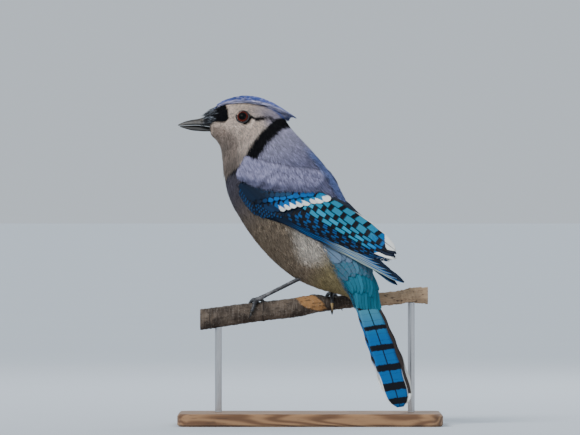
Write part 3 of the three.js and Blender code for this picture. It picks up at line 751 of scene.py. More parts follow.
# how far along the feather, and its half width there as a share of the widest
ROUNDED = [(0, 0.55), (0.12, 0.8), (0.5, 1.0), (0.8, 0.93), (0.92, 0.75), (0.98, 0.45), (1, 0.16)]
PEAKED = [(0, 0.55), (0.12, 0.8), (0.5, 1.0), (0.8, 0.9), (0.92, 0.6), (1, 0.08)]
TAIL_SHAPE = [(0, 0.82), (0.36, 0.93), (0.74, 1.0), (0.92, 0.9), (0.98, 0.6), (1, 0.25)]
VANE_ROWS = 26
VANE_COLUMNS = 10


def vane_grid():
    """How far along and across each grid point lies, and the triangles of a closed thin vane."""
    rows = np.linspace(0, 1, VANE_ROWS + 1)
    edges = np.linspace(-1, 1, VANE_COLUMNS + 1)
    share, edge = (x.ravel() for x in np.meshgrid(rows, edges, indexing="ij"))
    columns = VANE_COLUMNS + 1
    row, column = np.meshgrid(np.arange(VANE_ROWS), np.arange(VANE_COLUMNS), indexing="ij")
    p = (row * columns + column).ravel()
    halves = [np.stack([p, p + 1, p + columns], 1), np.stack([p + 1, p + columns + 1, p + columns], 1)]
    face = np.concatenate(halves)
    border = np.concatenate([
        np.arange(columns),
        np.arange(1, VANE_ROWS + 1) * columns + VANE_COLUMNS,
        VANE_ROWS * columns + np.arange(VANE_COLUMNS - 1, -1, -1),
        np.arange(VANE_ROWS - 1, 0, -1) * columns,
    ])
    count = len(share)
    follow = np.roll(border, -1)
    across_rim = np.stack([border, border + count, follow], 1)
    along_rim = np.stack([follow, border + count, follow + count], 1)
    triangles = np.concatenate([face, face[:, ::-1] + count, across_rim, along_rim])
    return share, edge, len(face), triangles


VANE_SHARE, VANE_EDGE, VANE_FACES, VANE_TRIANGLES = vane_grid()


def vane(surface, root, tip, width, shape, lift=0.0, sink=0.0, dip=0.0, bow=0.0):
    """Points, triangles and per-point numbers of one feather."""
    share, edge = VANE_SHARE, VANE_EDGE
    run = np.array(tip, float) - np.array(root, float)
    long = np.hypot(*run)
    cross = np.array([-run[1], run[0]]) / long
    wide = np.interp(share, *zip(*shape)) * width
    wave = 1 + WAVY * np.sin(share * 31 + root[0]) * np.abs(edge) ** 3
    off = bow * 4 * share * (1 - share) + edge * wide * wave
    a = root[0] + run[0] * share + cross[0] * off
    b = root[1] + run[1] * share + cross[1] * off
    round_web = 1 - edge**2
    rib = SHAFT_HIGH * np.exp(-((edge / SHAFT_WIDE) ** 2)) * (1 - share * 0.7)
    height = lift - sink * (1 - share) - dip * (edge + 1) / 2 + round_web * CAMBER
    thin = VANE_THICK * (0.45 + 0.55 * round_web) * (1 - 0.45 * share)
    top = surface(a, b, height + rib)
    bottom = surface(a, b, height - thin - rib * 0.5)
    points = np.concatenate([top, bottom])
    triangles = VANE_TRIANGLES
    inner = points[triangles[:VANE_FACES]]
    normal = np.cross(inner[:, 1] - inner[:, 0], inner[:, 2] - inner[:, 0]).sum(0)
    if dot(normal, (top - bottom).mean(0)) < 0:
        triangles = triangles[:, ::-1]
    twice = np.tile(share, 2)
    return points, triangles, {"along": twice, "across": np.tile(edge, 2), "to_tip": (1 - twice) * long * MM}


def tagged(feather, kind, order):
    """A vane that knows its kind, its place in the row and its own tone."""
    feather[2].update(kind=kind, order=order, tone=RANDOM.random())
    return feather


FEATHER_KEYS = ("along", "across", "to_tip", "kind", "order", "tone")
ATLAS = 12


def feather_piece(name, feathers, material, slot, replaces=()):
    """Joins vanes into one piece. Each feather gets its own cell of the unwrap."""
    points, triangles = joined([(f[0], f[1]) for f in feathers])
    values = {}
    for key in FEATHER_KEYS:
        values[key] = np.concatenate([np.broadcast_to(f[2][key], len(f[0])) for f in feathers])
    cells = []
    for number, (some, _, stored) in enumerate(feathers):
        half = np.arange(len(some)) >= len(some) // 2
        u = (number % ATLAS + 0.04 + 0.44 * (stored["across"] + 1) / 2 + 0.48 * half) / ATLAS
        v = (number // ATLAS + 0.04 + 0.92 * stored["along"]) / ATLAS
        cells.append(np.stack([u, v], 1))
    return make_piece(name, points, triangles, material, values, np.concatenate(cells), slot, replaces)


print("vane maker ready")

# %% [markdown]
# The wing finish reads which tier a feather is in. Coverts and tertials are bright blue with
# black bars and white ends, primaries are dark with a blue line and a pale edge. A jay's blue isn't
# a pigment: it comes from air in the barbs, so each feather is a little lighter or darker than the
# next, and the barbs' fine lines show as a slight bump. The front median and lesser coverts, at the
# bend of the wing, are painted near-black as a painted shadow.
# %% Wing finish
BLUE = (0.001, 0.105, 0.34)
TURQUOISE = (0.012, 0.23, 0.37)
NAVY = (0.002, 0.010, 0.028)
BAR = (0.003, 0.004, 0.008)
WHITE = (0.84, 0.84, 0.80)
PALE_EDGE = (0.40, 0.48, 0.44)
SOFT_BLUE = (0.010, 0.055, 0.13)
TIERS = ["primary", "secondary", "tertial", "primary_covert", "alula", "greater", "median", "lesser"]


def barbs(f, distance=0.00025):
    """Fine slanting lines of barbs."""
    slant = f.number("to_tip") * 1900.0 + abs(f.number("across")) * 3.2
    line = abs(slant.wrap() - 0.5)
    f.bump(line, 0.5, distance)
    return 0.86 + line * 0.34


def wing_finish():
    f = Finish("wing_feathers", Specular_IOR_Level=0.14)
    kind = f.number("kind")
    across = f.number("across")
    to_tip = f.number("to_tip") * 1000.0
    along = f.number("along")
    order = f.number("order")
    tone = f.number("tone")
    ragged = f.noise(f.where(), 900.0) - 0.5

    def tier(name):
        at = TIERS.index(name)
        return f.edge(0.5 - abs(kind - float(at)), 0.0, 0.1)

    def bars(step, share, first):
        phase = ((to_tip + ragged * 0.9 - first + abs(across) * 0.8) / step).wrap()
        return f.edge(phase, 1.0 - share - 0.06, 1.0 - share + 0.06) * f.edge(to_tip, first, first + 0.3)

    outer = f.edge(across * -1.0, -0.05, 0.12)
    shaft = f.edge(0.10 - abs(across), 0.0, 0.05)
    gap = f.edge(abs(across), 0.8, 0.95)
    edge_line = f.edge(across * -1.0, 0.78, 0.88)
    blue_line = f.edge(0.13 - abs(across + 0.68), 0.0, 0.05)
    primary = f.mix(NAVY, BLUE, blue_line * f.edge(along, 0.1, 0.35))
    primary = f.mix(primary, PALE_EDGE, edge_line * f.edge(along, 0.4, 0.65) * 0.9)
    secondary = f.mix(NAVY, BLUE, outer * (0.2 + order * 0.6))
    secondary = f.mix(secondary, BAR, bars(7.2, 0.56, 3.4 + tone * 4.5))
    secondary = f.mix(secondary, BAR, gap)
    secondary = f.mix(secondary, WHITE, f.edge(1.6 - to_tip + ragged * 1.4, 0.0, 0.9))
    checker = f.edge(across, -0.05, 0.05) * 4.6
    tertial = f.mix(TURQUOISE, BLUE, f.edge(along + ragged * 0.4, 0.55, 0.85))
    tertial = f.mix(tertial, BAR, bars(10.4, 0.34, 9.0 + checker - order * 14.0))
    tertial = f.mix(tertial, BAR, gap)
    tertial = f.mix(tertial, BAR, f.edge(13.0 - order * 3.0 - to_tip, 0.0, 0.6) * 0.95)
    outermost = f.edge(abs(order - 0.5), 0.25, 0.3)
    white_end = 10.5 - to_tip + across * (order - 0.5) * 9.0 + ragged * 1.6
    tertial = f.mix(tertial, WHITE, f.edge(white_end, 0.0, 0.8) * outermost)
    top_edge = f.edge(across, 0.84, 0.94) * f.edge(along, 0.3, 0.45) * f.edge(order, 0.6, 0.7)
    tertial = f.mix(tertial, WHITE, top_edge)
    hand = f.mix(NAVY, BLUE, f.edge(across * -1.0, 0.1, 0.4) * 0.35)
    hand = f.mix(hand, BAR, bars(2.6, 0.5, 0.5))
    greater = f.mix(BLUE, TURQUOISE, f.edge(order, 0.4, 1.0) * 0.6)
    greater = f.mix(greater, BAR, bars(5.4, 0.36, 6.4))
    greater = f.mix(greater, BAR, gap)
    white_bar = f.edge(order, 0.14, 0.24) * f.edge(6.4 - to_tip - abs(across) * 2.4 + ragged * 4.0, 0.0, 0.7)
    greater = f.mix(greater, BAR, (1.0 - f.edge(order, 0.14, 0.24)) * 0.85)
    greater = f.mix(greater, WHITE, white_bar)
    greater = f.mix(greater, BAR, gap * white_bar * 0.6)
    # painted shadow: the first median coverts, at the bend of the wing, are painted near-black
    median = f.mix(f.mix(BLUE, NAVY, 1.0 - f.edge(order, 0.05, 0.3)), BAR, bars(5.0, 0.38, 0.9 + order * 1.2))
    median = f.mix(median, BAR, gap)
    # painted shadow: the front lesser coverts are painted near-black, the ones behind a little bluer
    lesser = f.mix(NAVY, SOFT_BLUE, f.edge(order + ragged * 0.3, 0.3, 0.9) * 0.8)
    lesser = f.mix(lesser, BAR, bars(5.0, 0.36, 1.0) * f.edge(order, 0.35, 0.5))
    colour = primary
    table = {"secondary": secondary, "tertial": tertial, "primary_covert": hand, "alula": hand,
             "greater": greater, "median": median, "lesser": lesser}
    for name, paint in table.items():
        colour = f.mix(colour, paint, tier(name))
    colour = f.mix(colour, BAR, shaft * f.edge(2.5 - kind, 0.0, 0.2) * 0.8)
    level = barbs(f) * (0.8 + tone * 0.4)
    rough = 0.42 + f.noise(f.where(), 700.0) * 0.25
    return f.finish(f.shade(colour, level), rough)


WING = wing_finish()
print("wing nodes", len(WING.node_tree.nodes))

# %% [markdown]
# The folded wing lies on a bent sheet beside the body, the same one that the solid follows. Its
# feathers are set in their real tiers, the long ones first and each row of coverts over the roots
# of the one before. The far wing is folded a little tighter.
# %% Wing feathers
def wing_sheet(side, a, b):
    far = 1 if side < 0 else 0
    stretch = np.where(a > 0, a / FAR_SHORT, a) if far else a
    row = smooth(WING_ROWS, (stretch - WING_START) / WING_STEP)
    t = np.clip((b - row[:, 0]) / (row[:, 1] - row[:, 0]), -0.25, 1.25)
    out = row[:, 2] * (1 - t) * (1 - 2 * t) + row[:, 3] * 4 * t * (1 - t) + row[:, 4] * t * (2 * t - 1)
    drop = far * FAR_DROOP * np.maximum(a, 0)
    return (WING_FROM - WING_FORWARD * a[:, None] + WING_BACK * (b - drop)[:, None]
            + WING_LEFT * (side * (out + far * FAR_OUT))[:, None])


def wing_point(side, a, b, height):
    step = 0.5
    here = wing_sheet(side, a, b)
    out = unit(np.cross(wing_sheet(side, a + step, b) - here, wing_sheet(side, a, b + step) - here))
    out = out * np.sign(dot(out, WING_LEFT) * side)[:, None]
    return here + out * np.broadcast_to(height, a.shape)[:, None]


# tier: count, first root, last root, first tip, last tip, half width, lift, sink, dip, bow
WING_TIERS = {
    "primary": [8, (5, -7.2), (20, 0.2), (113, -8.3), (76, -0.6), 3.5, 0.0, 0.0, 1.0, 1.3],
    "secondary": [7, (16, -3), (30, 8), (88, -0.8), (99, 3.6), 3.6, 0.12, 0.0, 1.0, 0.0],
    "tertial": [4, (26, 9), (34, 18), (99, 3.6), (96, 8.6), 5.0, 0.5, 0.0, 1.0, 0.5],
    "primary_covert": [5, (-16, -10), (-6, -4), (3, -12.6), (16, -5.0), 2.3, 0.55, 0.4, 0.6, 0.0],
    "alula": [3, (-25, -6.5), (-25, -2.5), (-3, -13.4), (-9, -8.6), 2.2, 1.0, 0.5, 0.4, -0.6],
    "greater": [10, (-4, -4.5), (24, 18.5), (9, -5.0), (38, 19.3), 2.7, 0.7, 0.5, 0.5, 0.0],
    "median": [9, (-16, -4), (14, 16.8), (-3, -3.6), (27, 17.8), 2.7, 1.15, 0.6, 0.4, 0.0],
    "lesser": [8, (-27, -1.5), (-4, 8.0), (-9, -4.2), (14, 12.0), 3.0, 1.2, 0.8, 0.3, 0.0],
}
CORE_ROWS = 16
CORE_TO = 84
CORE_INSET = 1.2
CORE_TOP = -0.9
CORE_FOOT = -2.0
TIP_STRAY = 0.35


def wing_core(side, surface):
    """The thin flesh under the feathers, so that no gap shows through."""
    a = np.repeat(np.linspace(WING_START + 3, CORE_TO, CORE_ROWS), 2)
    row = smooth(WING_ROWS, (a - WING_START) / WING_STEP)
    edges = np.where(np.arange(len(a)) % 2 == 0, row[:, 0] + CORE_INSET, row[:, 1] - CORE_INSET)
    top = surface(a, edges, np.full(len(a), CORE_TOP))
    low = surface(a, edges, np.full(len(a), CORE_FOOT))
    middle = surface(a[::2], (edges[::2] + edges[1::2]) / 2, np.full(CORE_ROWS, CORE_TOP))
    rings = np.stack([top[::2], middle, top[1::2], low[1::2], low[::2]], 1)
    points, triangles = loft(rings if side > 0 else rings[:, ::-1])
    zero = np.zeros(len(points))
    stored = {"along": zero + 0.5, "across": zero + 0.5, "to_tip": zero + 0.03}
    return points, triangles, {**stored, "kind": 0.0, "order": 0.5, "tone": 0.2}


def wing(name, side):
    reach = 1.0 if side > 0 else FAR_SHORT

    def surface(a, b, height):
        return wing_point(side, np.where(a > 0, a * reach, a), b, height)

    feathers = [wing_core(side, surface)]
    for tier, (count, root, last_root, tip, last_tip, *form) in WING_TIERS.items():
        shape = PEAKED if tier == "tertial" else ROUNDED
        for number in range(count):
            share = number / (count - 1)
            start = np.array(root) + (np.array(last_root) - root) * share
            end = np.array(tip) + (np.array(last_tip) - tip) * share
            end = end + RANDOM.normal(0, TIP_STRAY, 2)
            feather = vane(surface, start, end, form[0], shape, *form[1:])
            feathers.append(tagged(feather, float(TIERS.index(tier)), share))
    return feather_piece(name, feathers, WING, "wing_blue", (name.replace("feathers", "wing"),))


for side_name, side in SIDES.items():
    wing(f"feathers_{side_name}", side)

# %% [markdown]
# Over the shoulder the soft back feathers run on across the wing's upper edge and hide where it
# joins the body. They are the same loose tufts as the coat, rooted on the body above that edge.
# The high ones lie on the body, the low ones end on the wing, and those between rise from one to
# the other. Their tone is held low: painted shade that darkens their raised faces to the mantle's.
# %% Shoulder feathers
SHOULDER_TUFTS = 3600
SHOULDER_FROM = -32
SHOULDER_LONG = 56
# a place along the wing and how far below its upper edge the tufts reach there
SHOULDER_FALL = [(-30, 2.0), (-20, 3.5), (-8, 4.5), (8, 3.0), (22, 1.0)]
ROOTS_ABOVE = (17.0, 3.0)
ENDS_ABOVE = 12.0
OVER_WING = 1.9
BESIDE_STATIONS = np.linspace(6, 11, 120)
BESIDE_ANGLES = np.linspace(0.2, 2.2, 90)
SEARCH_PARTS = 40


def body_beside_wing(a, b, side):
    """The body's own surface at places of the wing's sheet: points, stations and angles."""
    station, angle = np.meshgrid(BESIDE_STATIONS, BESIDE_ANGLES * side, indexing="ij")
    station, angle = station.ravel(), angle.ravel()
    points = body_point(station, angle)
    from_wrist = points - WING_FROM
    flat = np.stack([-dot(from_wrist, WING_FORWARD), dot(from_wrist, WING_BACK)], 1)
    near = np.concatenate([
        np.argmin(((some[:, None] - flat[None]) ** 2).sum(2), axis=1)
        for some in np.array_split(np.stack([a, b], 1), SEARCH_PARTS)
    ])
    return points[near], station[near], angle[near]


def shoulder(name, side):
    first, second = spread_evenly(SHOULDER_TUFTS, 9)
    a = SHOULDER_FROM + SHOULDER_LONG * first
    high_edge = smooth(WING_ROWS, (a - WING_START) / WING_STEP)[:, 1]
    fall = np.interp(a, *zip(*SHOULDER_FALL))
    above_edge = ROOTS_ABOVE[0] + (ROOTS_ABOVE[1] - ROOTS_ABOVE[0]) * second
    above, station, angle = body_beside_wing(a - 5.0, high_edge + above_edge, side)
    end_a = a + 4.0
    end_b = high_edge + ENDS_ABOVE - (fall + ENDS_ABOVE) * second
    on_body, end_station, end_angle = body_beside_wing(end_a, end_b, side)
    on_body = on_body + body_directions(end_station, end_angle)[2] * 0.2
    on_wing = wing_point(side, end_a, end_b, np.full(SHOULDER_TUFTS, OVER_WING))
    share = np.clip((end_b - high_edge + 1.0) / 9.0, 0, 1)[:, None]
    end = on_wing + (on_body - on_wing) * share
    out = body_directions(station, angle)[2]
    run = unit(end - above)
    each = np.repeat(np.arange(SHOULDER_TUFTS), BLADES_A_TUFT)
    total = len(each)
    out, station, angle, run = out[each], station[each], angle[each], run[each]
    root = above[each] - out * 1.5 + RANDOM.normal(0, 0.3, (total, 3))
    flow = run * RANDOM.uniform(-2.5, 1.0, total)[:, None]
    tip = end[each] + flow + np.cross(out, run) * RANDOM.normal(0, 0.5, total)[:, None]
    middle = (root + tip) / 2 + out * RANDOM.uniform(0.3, 0.8, total)[:, None]
    width = RANDOM.uniform(0.45, 0.7, total)
    stored = {
        "station": np.maximum(station + 0.4, 7.3),
        "angle": np.minimum(np.degrees(np.abs(angle)), 66.0),
        "root": root * MM,
        # painted shade: tone held to 0.6 at most, darker than the coat, against the light on their raised
        # faces
        "tone": (RANDOM.random(SHOULDER_TUFTS) * 0.6)[each],
        "unwrap": body_unwrap(station, angle),
    }
    points, triangles, values, unwrap = tufts(root, middle, tip, out, width, stored)
    return make_piece(name, points, triangles, PLUMAGE, values, unwrap, "mantle_grey")


for side_name, side in SIDES.items():
    shoulder(f"coat_shoulder_{side_name}", side)

# %% [markdown]
# Twelve tail feathers lie over each other like a fan of cards, the middle pair on top. The middle
# pair and the outer webs on the near side are blue with black bars, and all but the middle pair end
# in white. The rest is dark brown: the feathers' own dusky inner webs, and painted shade over the
# whole of the far side's feathers, where the fan opens on the right.
# %% Tail finish
# millimetres from the tip, and the count of bars passed there
TAIL_BARS = [(0, 0.0), (4.5, 0.5), (10, 1.0), (15.5, 1.5), (23, 2.0), (30.5, 2.5), (38, 3.0), (46, 3.5),
             (54, 4.0), (61.5, 4.5), (70, 5.0), (85, 6.0)]
TAIL_BLUE = (0.001, 0.10, 0.30)
TAIL_ROOT_GREY = (0.06, 0.23, 0.30)
TAIL_DUSK_AND_SHADE = (0.035, 0.025, 0.022)


def tail_finish():
    f = Finish("tail_feathers", Roughness=0.5, Specular_IOR_Level=0.14)
    across = f.number("across")
    order = f.number("order")
    side = f.number("kind")
    to_tip = f.number("to_tip") * 1000.0
    ragged = f.noise(f.where(), 500.0) - 0.5
    place = f.curve(to_tip + ragged * 2.2, TAIL_BARS)
    thick = f.curve(to_tip, [(0, 0.24), (12, 0.24), (30, 0.17), (60, 0.11), (85, 0.06)])
    band = f.edge(thick - abs(place.wrap() - 0.5), -0.03, 0.03)
    thin = f.edge(0.035 - abs((place * 3.0).wrap() - 0.5), -0.03, 0.03) * 0.3
    root_grey = f.edge(to_tip, 50.0, 80.0)
    blue = f.mix(TAIL_BLUE, TAIL_ROOT_GREY, root_grey * 0.9)
    # painted shade: the far side's feathers (kind -1) get no blue web, so they are dark all over
    near_outer_web = f.edge(across * side, -0.1, 0.1) * f.edge(side, -0.1, 0.1)
    middle_pair = f.edge(0.1 - order, 0.0, 0.05)
    shows = 1.0 - (1.0 - near_outer_web) * (1.0 - middle_pair)
    colour = f.mix(blue, BAR, band)
    colour = f.mix(colour, BAR, thin)
    # dark brown: the dusky inner webs, and on the far side painted shade
    colour = f.mix(TAIL_DUSK_AND_SHADE, colour, shows)
    white = f.edge(6.0 + order * 7.0 - to_tip + ragged * 2.0, 0.0, 1.2) * f.edge(order, 0.1, 0.15)
    colour = f.mix(colour, WHITE, white)
    white_edge = f.edge(across * side, 0.9, 0.97) * f.edge(30.0 - to_tip, 0.0, 8.0)
    colour = f.mix(colour, WHITE, white_edge * 0.8)
    colour = f.mix(colour, BAR, f.edge(0.07 - abs(across), 0.0, 0.03) * 0.9)
    return f.finish(f.shade(colour, barbs(f) * (0.88 + f.number("tone") * 0.24)))


TAIL = tail_finish()
print("tail nodes", len(TAIL.node_tree.nodes))

# %% Tail feathers
TAIL_ROOT = BODY[LAST, :3]
TAIL_LONG = 80.5
TAIL_AXES = [v[0] for v in axes(62, 40, 22)]
TAIL_LOW = [v[0] for v in axes(69, 40, 22)]
TAIL_PAIRS = 6
TAIL_SPREAD = 0.75
TAIL_MIDDLE = 2.9
PAIR_SHORTER = 1.9
PAIR_LOWER = 0.42
TAIL_TUCKED = -6.0
TAIL_VANE_WIDE = 9.6
TOP_PAIR_LIFT = 1.4


def tail_point(along, across, height):
    t = (along / TAIL_LONG)[:, None]
    height = np.broadcast_to(height, along.shape)
    return (TAIL_ROOT - TAIL_AXES[0] * along[:, None] * (1 - t / 2) - TAIL_LOW[0] * along[:, None] * t / 2
            + TAIL_LOW[1] * across[:, None] + TAIL_LOW[2] * height[:, None])


def tail():
    feathers = []
    for pair in reversed(range(TAIL_PAIRS)):
        for side in (1, -1):
            place = side * (0.8 + TAIL_SPREAD * pair)
            if pair == 0:
                place = TAIL_MIDDLE + side * 0.4
            root = (TAIL_TUCKED, place * 0.45)
            end = (TAIL_LONG - PAIR_SHORTER * pair, place)
            wide = TAIL_VANE_WIDE - 0.1 * pair
            lift = TOP_PAIR_LIFT - PAIR_LOWER * pair - (0.2 if side < 0 else 0)
            feather = vane(tail_point, root, end, wide, TAIL_SHAPE, lift)
            feathers.append(tagged(feather, float(side), pair / (TAIL_PAIRS - 1)))
    return feather_piece("feathers_tail", feathers, TAIL, "tail_blue", ("tail",))


tail()

# %% [markdown]
# Between rump and tail lie the tail coverts, turquoise feathers with a dark shaft, and a faint
# painted shade along each rim and tip where the rows lap. They are vanes again, bent over the
# body's own curve, in four rows that lap like tiles. The vent below keeps its loose tufts.
# %% Tail coverts
COVERT_ALONG = 13.0
COVERT_ROUND = 15.0
COVERT_SINK = 1.6
COVERT_DIP = 0.7
COVERT_BLUE = (0.020, 0.15, 0.22)
COVERT_GREY = (0.11, 0.165, 0.24)
COVERT_RIM_SHADE = (0.008, 0.03, 0.05)
COVERT_SHAFT = (0.02, 0.018, 0.02)
# row: station of the roots, station of the tips, angles, half width, lift
COVERT_ROWS = [
    [11.8, 14.9, range(-72, 73, 16), 3.8, 0.1],
    [11.2, 13.7, range(-94, 90, 15), 3.6, 0.35],
    [10.7, 12.7, range(-100, 96, 14), 3.3, 0.55],
    [10.2, 11.9, range(-84, 84, 13), 3.0, 0.7],
]


def covert_finish():
    f = Finish("tail_coverts", Roughness=0.65, Specular_IOR_Level=0.1)
    across = f.number("across")
    to_tip = f.number("to_tip") * 1000.0
    order = f.number("order")
    ragged = f.noise(f.where(), 700.0) - 0.5
    colour = f.mix(COVERT_BLUE, COVERT_GREY, f.edge(order + ragged * 0.8, 0.25, 0.8))
    # painted shade: a faint dark rim along each covert's tip and edges, where the rows lap
    rim = f.edge(1.5 - to_tip + ragged * 1.2, 0.0, 0.9) + f.edge(abs(across), 0.9, 1.0) * 0.5
    colour = f.mix(colour, COVERT_RIM_SHADE, rim * 0.1)
    colour = f.mix(colour, COVERT_SHAFT, f.edge(0.06 - abs(across), 0.0, 0.03) * 0.85)
    return f.finish(f.shade(colour, barbs(f, 0.0004) * (0.75 + f.number("tone") * 0.5)))


def coverts():
    def surface(x, y, height):
        return body_point(x / COVERT_ALONG, y / COVERT_ROUND, height)

    feathers = []
    for row_number, (start, end, turns, wide, lift) in enumerate(COVERT_ROWS):
        for turn in turns:
            angle = math.radians(turn)
            root = (start * COVERT_ALONG, angle * COVERT_ROUND)
            reach = end - 0.35 * abs(angle) + RANDOM.normal(0, 0.1)
            tip = (reach * COVERT_ALONG, angle * 0.8 * COVERT_ROUND)
            feather = vane(surface, root, tip, wide, PEAKED, lift, COVERT_SINK, COVERT_DIP)
            feathers.append(tagged(feather, 0.0, row_number / len(COVERT_ROWS)))
    return feather_piece("feathers_covert", feathers, covert_finish(), "rump_blue")


coverts()

# %% [markdown]
# The crest is a fan of long narrow feathers that starts over the bill and ends in a point behind
# the head. Its surface is an arch over the crown's ridge. Thousands of blades follow the ridge
# backwards, every third of the rear ones hangs a little lower, and the last run out past the nape
# to draw the point.
# %% Crest
# x and z of the ridge, and the crest's half width
CREST = np.array([
    [-68.6, 229.4, 4.5], [-63.6, 232.9, 7.0], [-56.3, 235.7, 9.5], [-46.9, 237.2, 10.6],
    [-38.3, 236.2, 10.4], [-30.3, 233.6, 9.0], [-22.3, 229.3, 6.6], [-15.1, 224.6, 3.8],
    [-9.4, 221.0, 1.4],
])
CREST_ROUND = 12.5
CREST_REAR = (0.20, 0.24, 0.45)
CREST_LOW = (0.48, 0.45, 0.56)
CREST_LONG = 67.0


def crest_point(share, across, height):
    """A point on the crest's arch: how far back, how far aside and how high over it."""
    share = np.atleast_1d(share)
    last = len(CREST) - 1
    here = smooth(CREST, share * last)
    ahead = smooth(CREST, share * last + 0.01)
    along = unit(np.stack([ahead[:, 0] - here[:, 0], np.zeros(len(here)), ahead[:, 1] - here[:, 1]], 1))
    up = np.stack([-along[:, 2], np.zeros(len(here)), along[:, 0]], 1)
    turn = np.broadcast_to(across, share.shape) / CREST_ROUND
    arch = CREST_ROUND + np.broadcast_to(height, share.shape)
    centre = np.stack([here[:, 0], np.full(len(here), MID_Y), here[:, 1]], 1)
    sideways = np.zeros_like(centre)
    sideways[:, 1] = -arch * np.sin(turn)
    return centre + up * (arch * np.cos(turn) - CREST_ROUND)[:, None] + sideways


def crest_finish():
    f = Finish("crest_feathers", Roughness=0.75, Specular_IOR_Level=0.1)
    along = f.number("along")
    share = f.number("station")
    side = abs(f.number("angle"))
    fray = f.noise(f.place("root"), 420.0) - 0.5
    colour = f.mix(CROWN, CREST_TIP, f.edge(f.number("tone") + fray * 0.8 + side * 0.25, 0.7, 1.05) * 0.75)
    colour = f.mix(colour, CREST_REAR, f.edge(share, 0.45, 0.8) * 0.4)
    low = f.edge(side + fray * 0.7, 0.6, 1.0) * (1.0 - f.edge(share, 0.7, 0.9))
    colour = f.mix(colour, CREST_LOW, low * 0.7)
    rear = f.edge(side, 0.75, 1.0) * f.edge(share, 0.65, 0.8)
    colour = f.mix(colour, COLLAR, rear * 0.5)
    # painted shade: each crest blade darker towards its root, where it lies under others; tone varies at
    # random
    level = (0.36 + along * 0.85) * (0.5 + f.number("tone") * 0.95)
    f.bump(f.noise(f.where(), 2600.0), 0.3, 0.0003)
    return f.finish(f.shade(colour, level))


CREST_FINISH = crest_finish()
CREST_BLADES = 5200
HANG_DEEP = 4.6
# how far along the crest a blade is rooted, then its length and its width
CREST_LENGTHS = [(0, 5), (0.1, 9), (0.3, 15), (0.6, 17), (0.86, 10)]
CREST_WIDTHS = [(0, 0.5), (0.4, 0.85), (0.86, 0.7)]
CORE_SHARES = np.linspace(0.03, 0.9, 40)
CORE_TURNS = np.linspace(-1, 1, 15)


def crest_core():
    """A thin bed under the crest's feathers: points, triangles and where each point lies."""
    rings = []
    for s in CORE_SHARES:
        share = np.full(len(CORE_TURNS), s)
        across = smooth(CREST, s * (len(CREST) - 1))[0, 2] * 0.93 * CORE_TURNS
        top = crest_point(share, across, -0.7 - 0.6 * CORE_TURNS**2)
        low = crest_point(share, across * 0.96, -3.4 * (1 - s) - 1.9 + 0.5 * CORE_TURNS**2)
        rings.append(np.concatenate([top, low[::-1]]))
    points, triangles = loft(rings)
    sides = np.concatenate([CORE_TURNS, CORE_TURNS[::-1]])
    share = np.concatenate([np.repeat(CORE_SHARES, len(sides)), CORE_SHARES[[0, -1]]])
    return points, triangles, share, np.concatenate([np.tile(sides, len(CORE_SHARES)), [0, 0]])


def crest_unwrap(share, aside):
    return np.stack([0.05 + 0.9 * (aside + 1) / 2, 0.03 + 0.94 * share], 1)


def crest_feathers():
    """The crest's blades: points, triangles, stored numbers and unwrap."""
    count = CREST_BLADES
    first, second = spread_evenly(count, 5)
    share = first**0.85 * 0.86
    aside = second * 2 - 1
    aside = np.sign(aside) * np.abs(aside) ** 0.9
    long = np.interp(share, *zip(*CREST_LENGTHS)) * RANDOM.uniform(0.75, 1.15, count)
    farthest = 1.0 - 0.1 * np.abs(aside) ** 1.5 * RANDOM.random(count)
    end = np.maximum(np.minimum(share + long / CREST_LONG, farthest), share + 2.5 / CREST_LONG)
    half = (share + end) / 2
    wide, half_wide, end_wide = (smooth(CREST, x * (len(CREST) - 1))[:, 2] for x in (share, half, end))
    stray = RANDOM.normal(0, 0.05, count)
    high = RANDOM.uniform(-0.9, 0.35, count)
    hanging = np.clip((share - 0.42) / 0.4, 0, 1) * RANDOM.random(count) * HANG_DEEP
    hangs = np.arange(count) % 3 == 0
    high = np.where(hangs, high - hanging, high)
    shorter = np.maximum(np.minimum(end, 0.96 - hanging * 0.02), share + 0.03)
    end = np.where(hangs, shorter, end)
    root = crest_point(share, aside * wide, np.minimum(-1.6, high - 0.8))
    middle = crest_point(half, (aside + stray / 2) * half_wide, high)
    tip_high = np.where(high < -1, high * 0.8, high * 0.6 + 0.1)
    tip = crest_point(end, (aside * 0.97 + stray) * end_wide, tip_high)
    out = unit(crest_point(half, aside * half_wide, 1.0) - crest_point(half, aside * half_wide, 0.0))
    width = np.interp(share, *zip(*CREST_WIDTHS)) * RANDOM.uniform(0.7, 1.2, count)
    stored = {
        "station": share,
        "angle": aside,
        "root": root * MM,
        "tone": RANDOM.random(count),
        "unwrap": crest_unwrap(share, aside),
    }
    return tufts(root, middle, tip, out, width, stored)


def crest():
    points, triangles, share, aside = crest_core()
    values = {
        "station": share,
        "angle": aside,
        "root": points * MM,
        # painted shade: along 0.1 paints the bed under the crest with the dark of the blade roots
        "along": np.full(len(points), 0.1),
        "tone": np.full(len(points), 0.4),
    }
    core = (points, triangles, values, crest_unwrap(share, aside))
    points, triangles, values, unwrap = with_bed(crest_feathers(), core)
    return make_piece("coat_crest", points, triangles, CREST_FINISH, values, unwrap, "crown_blue", ("crest",))


crest()

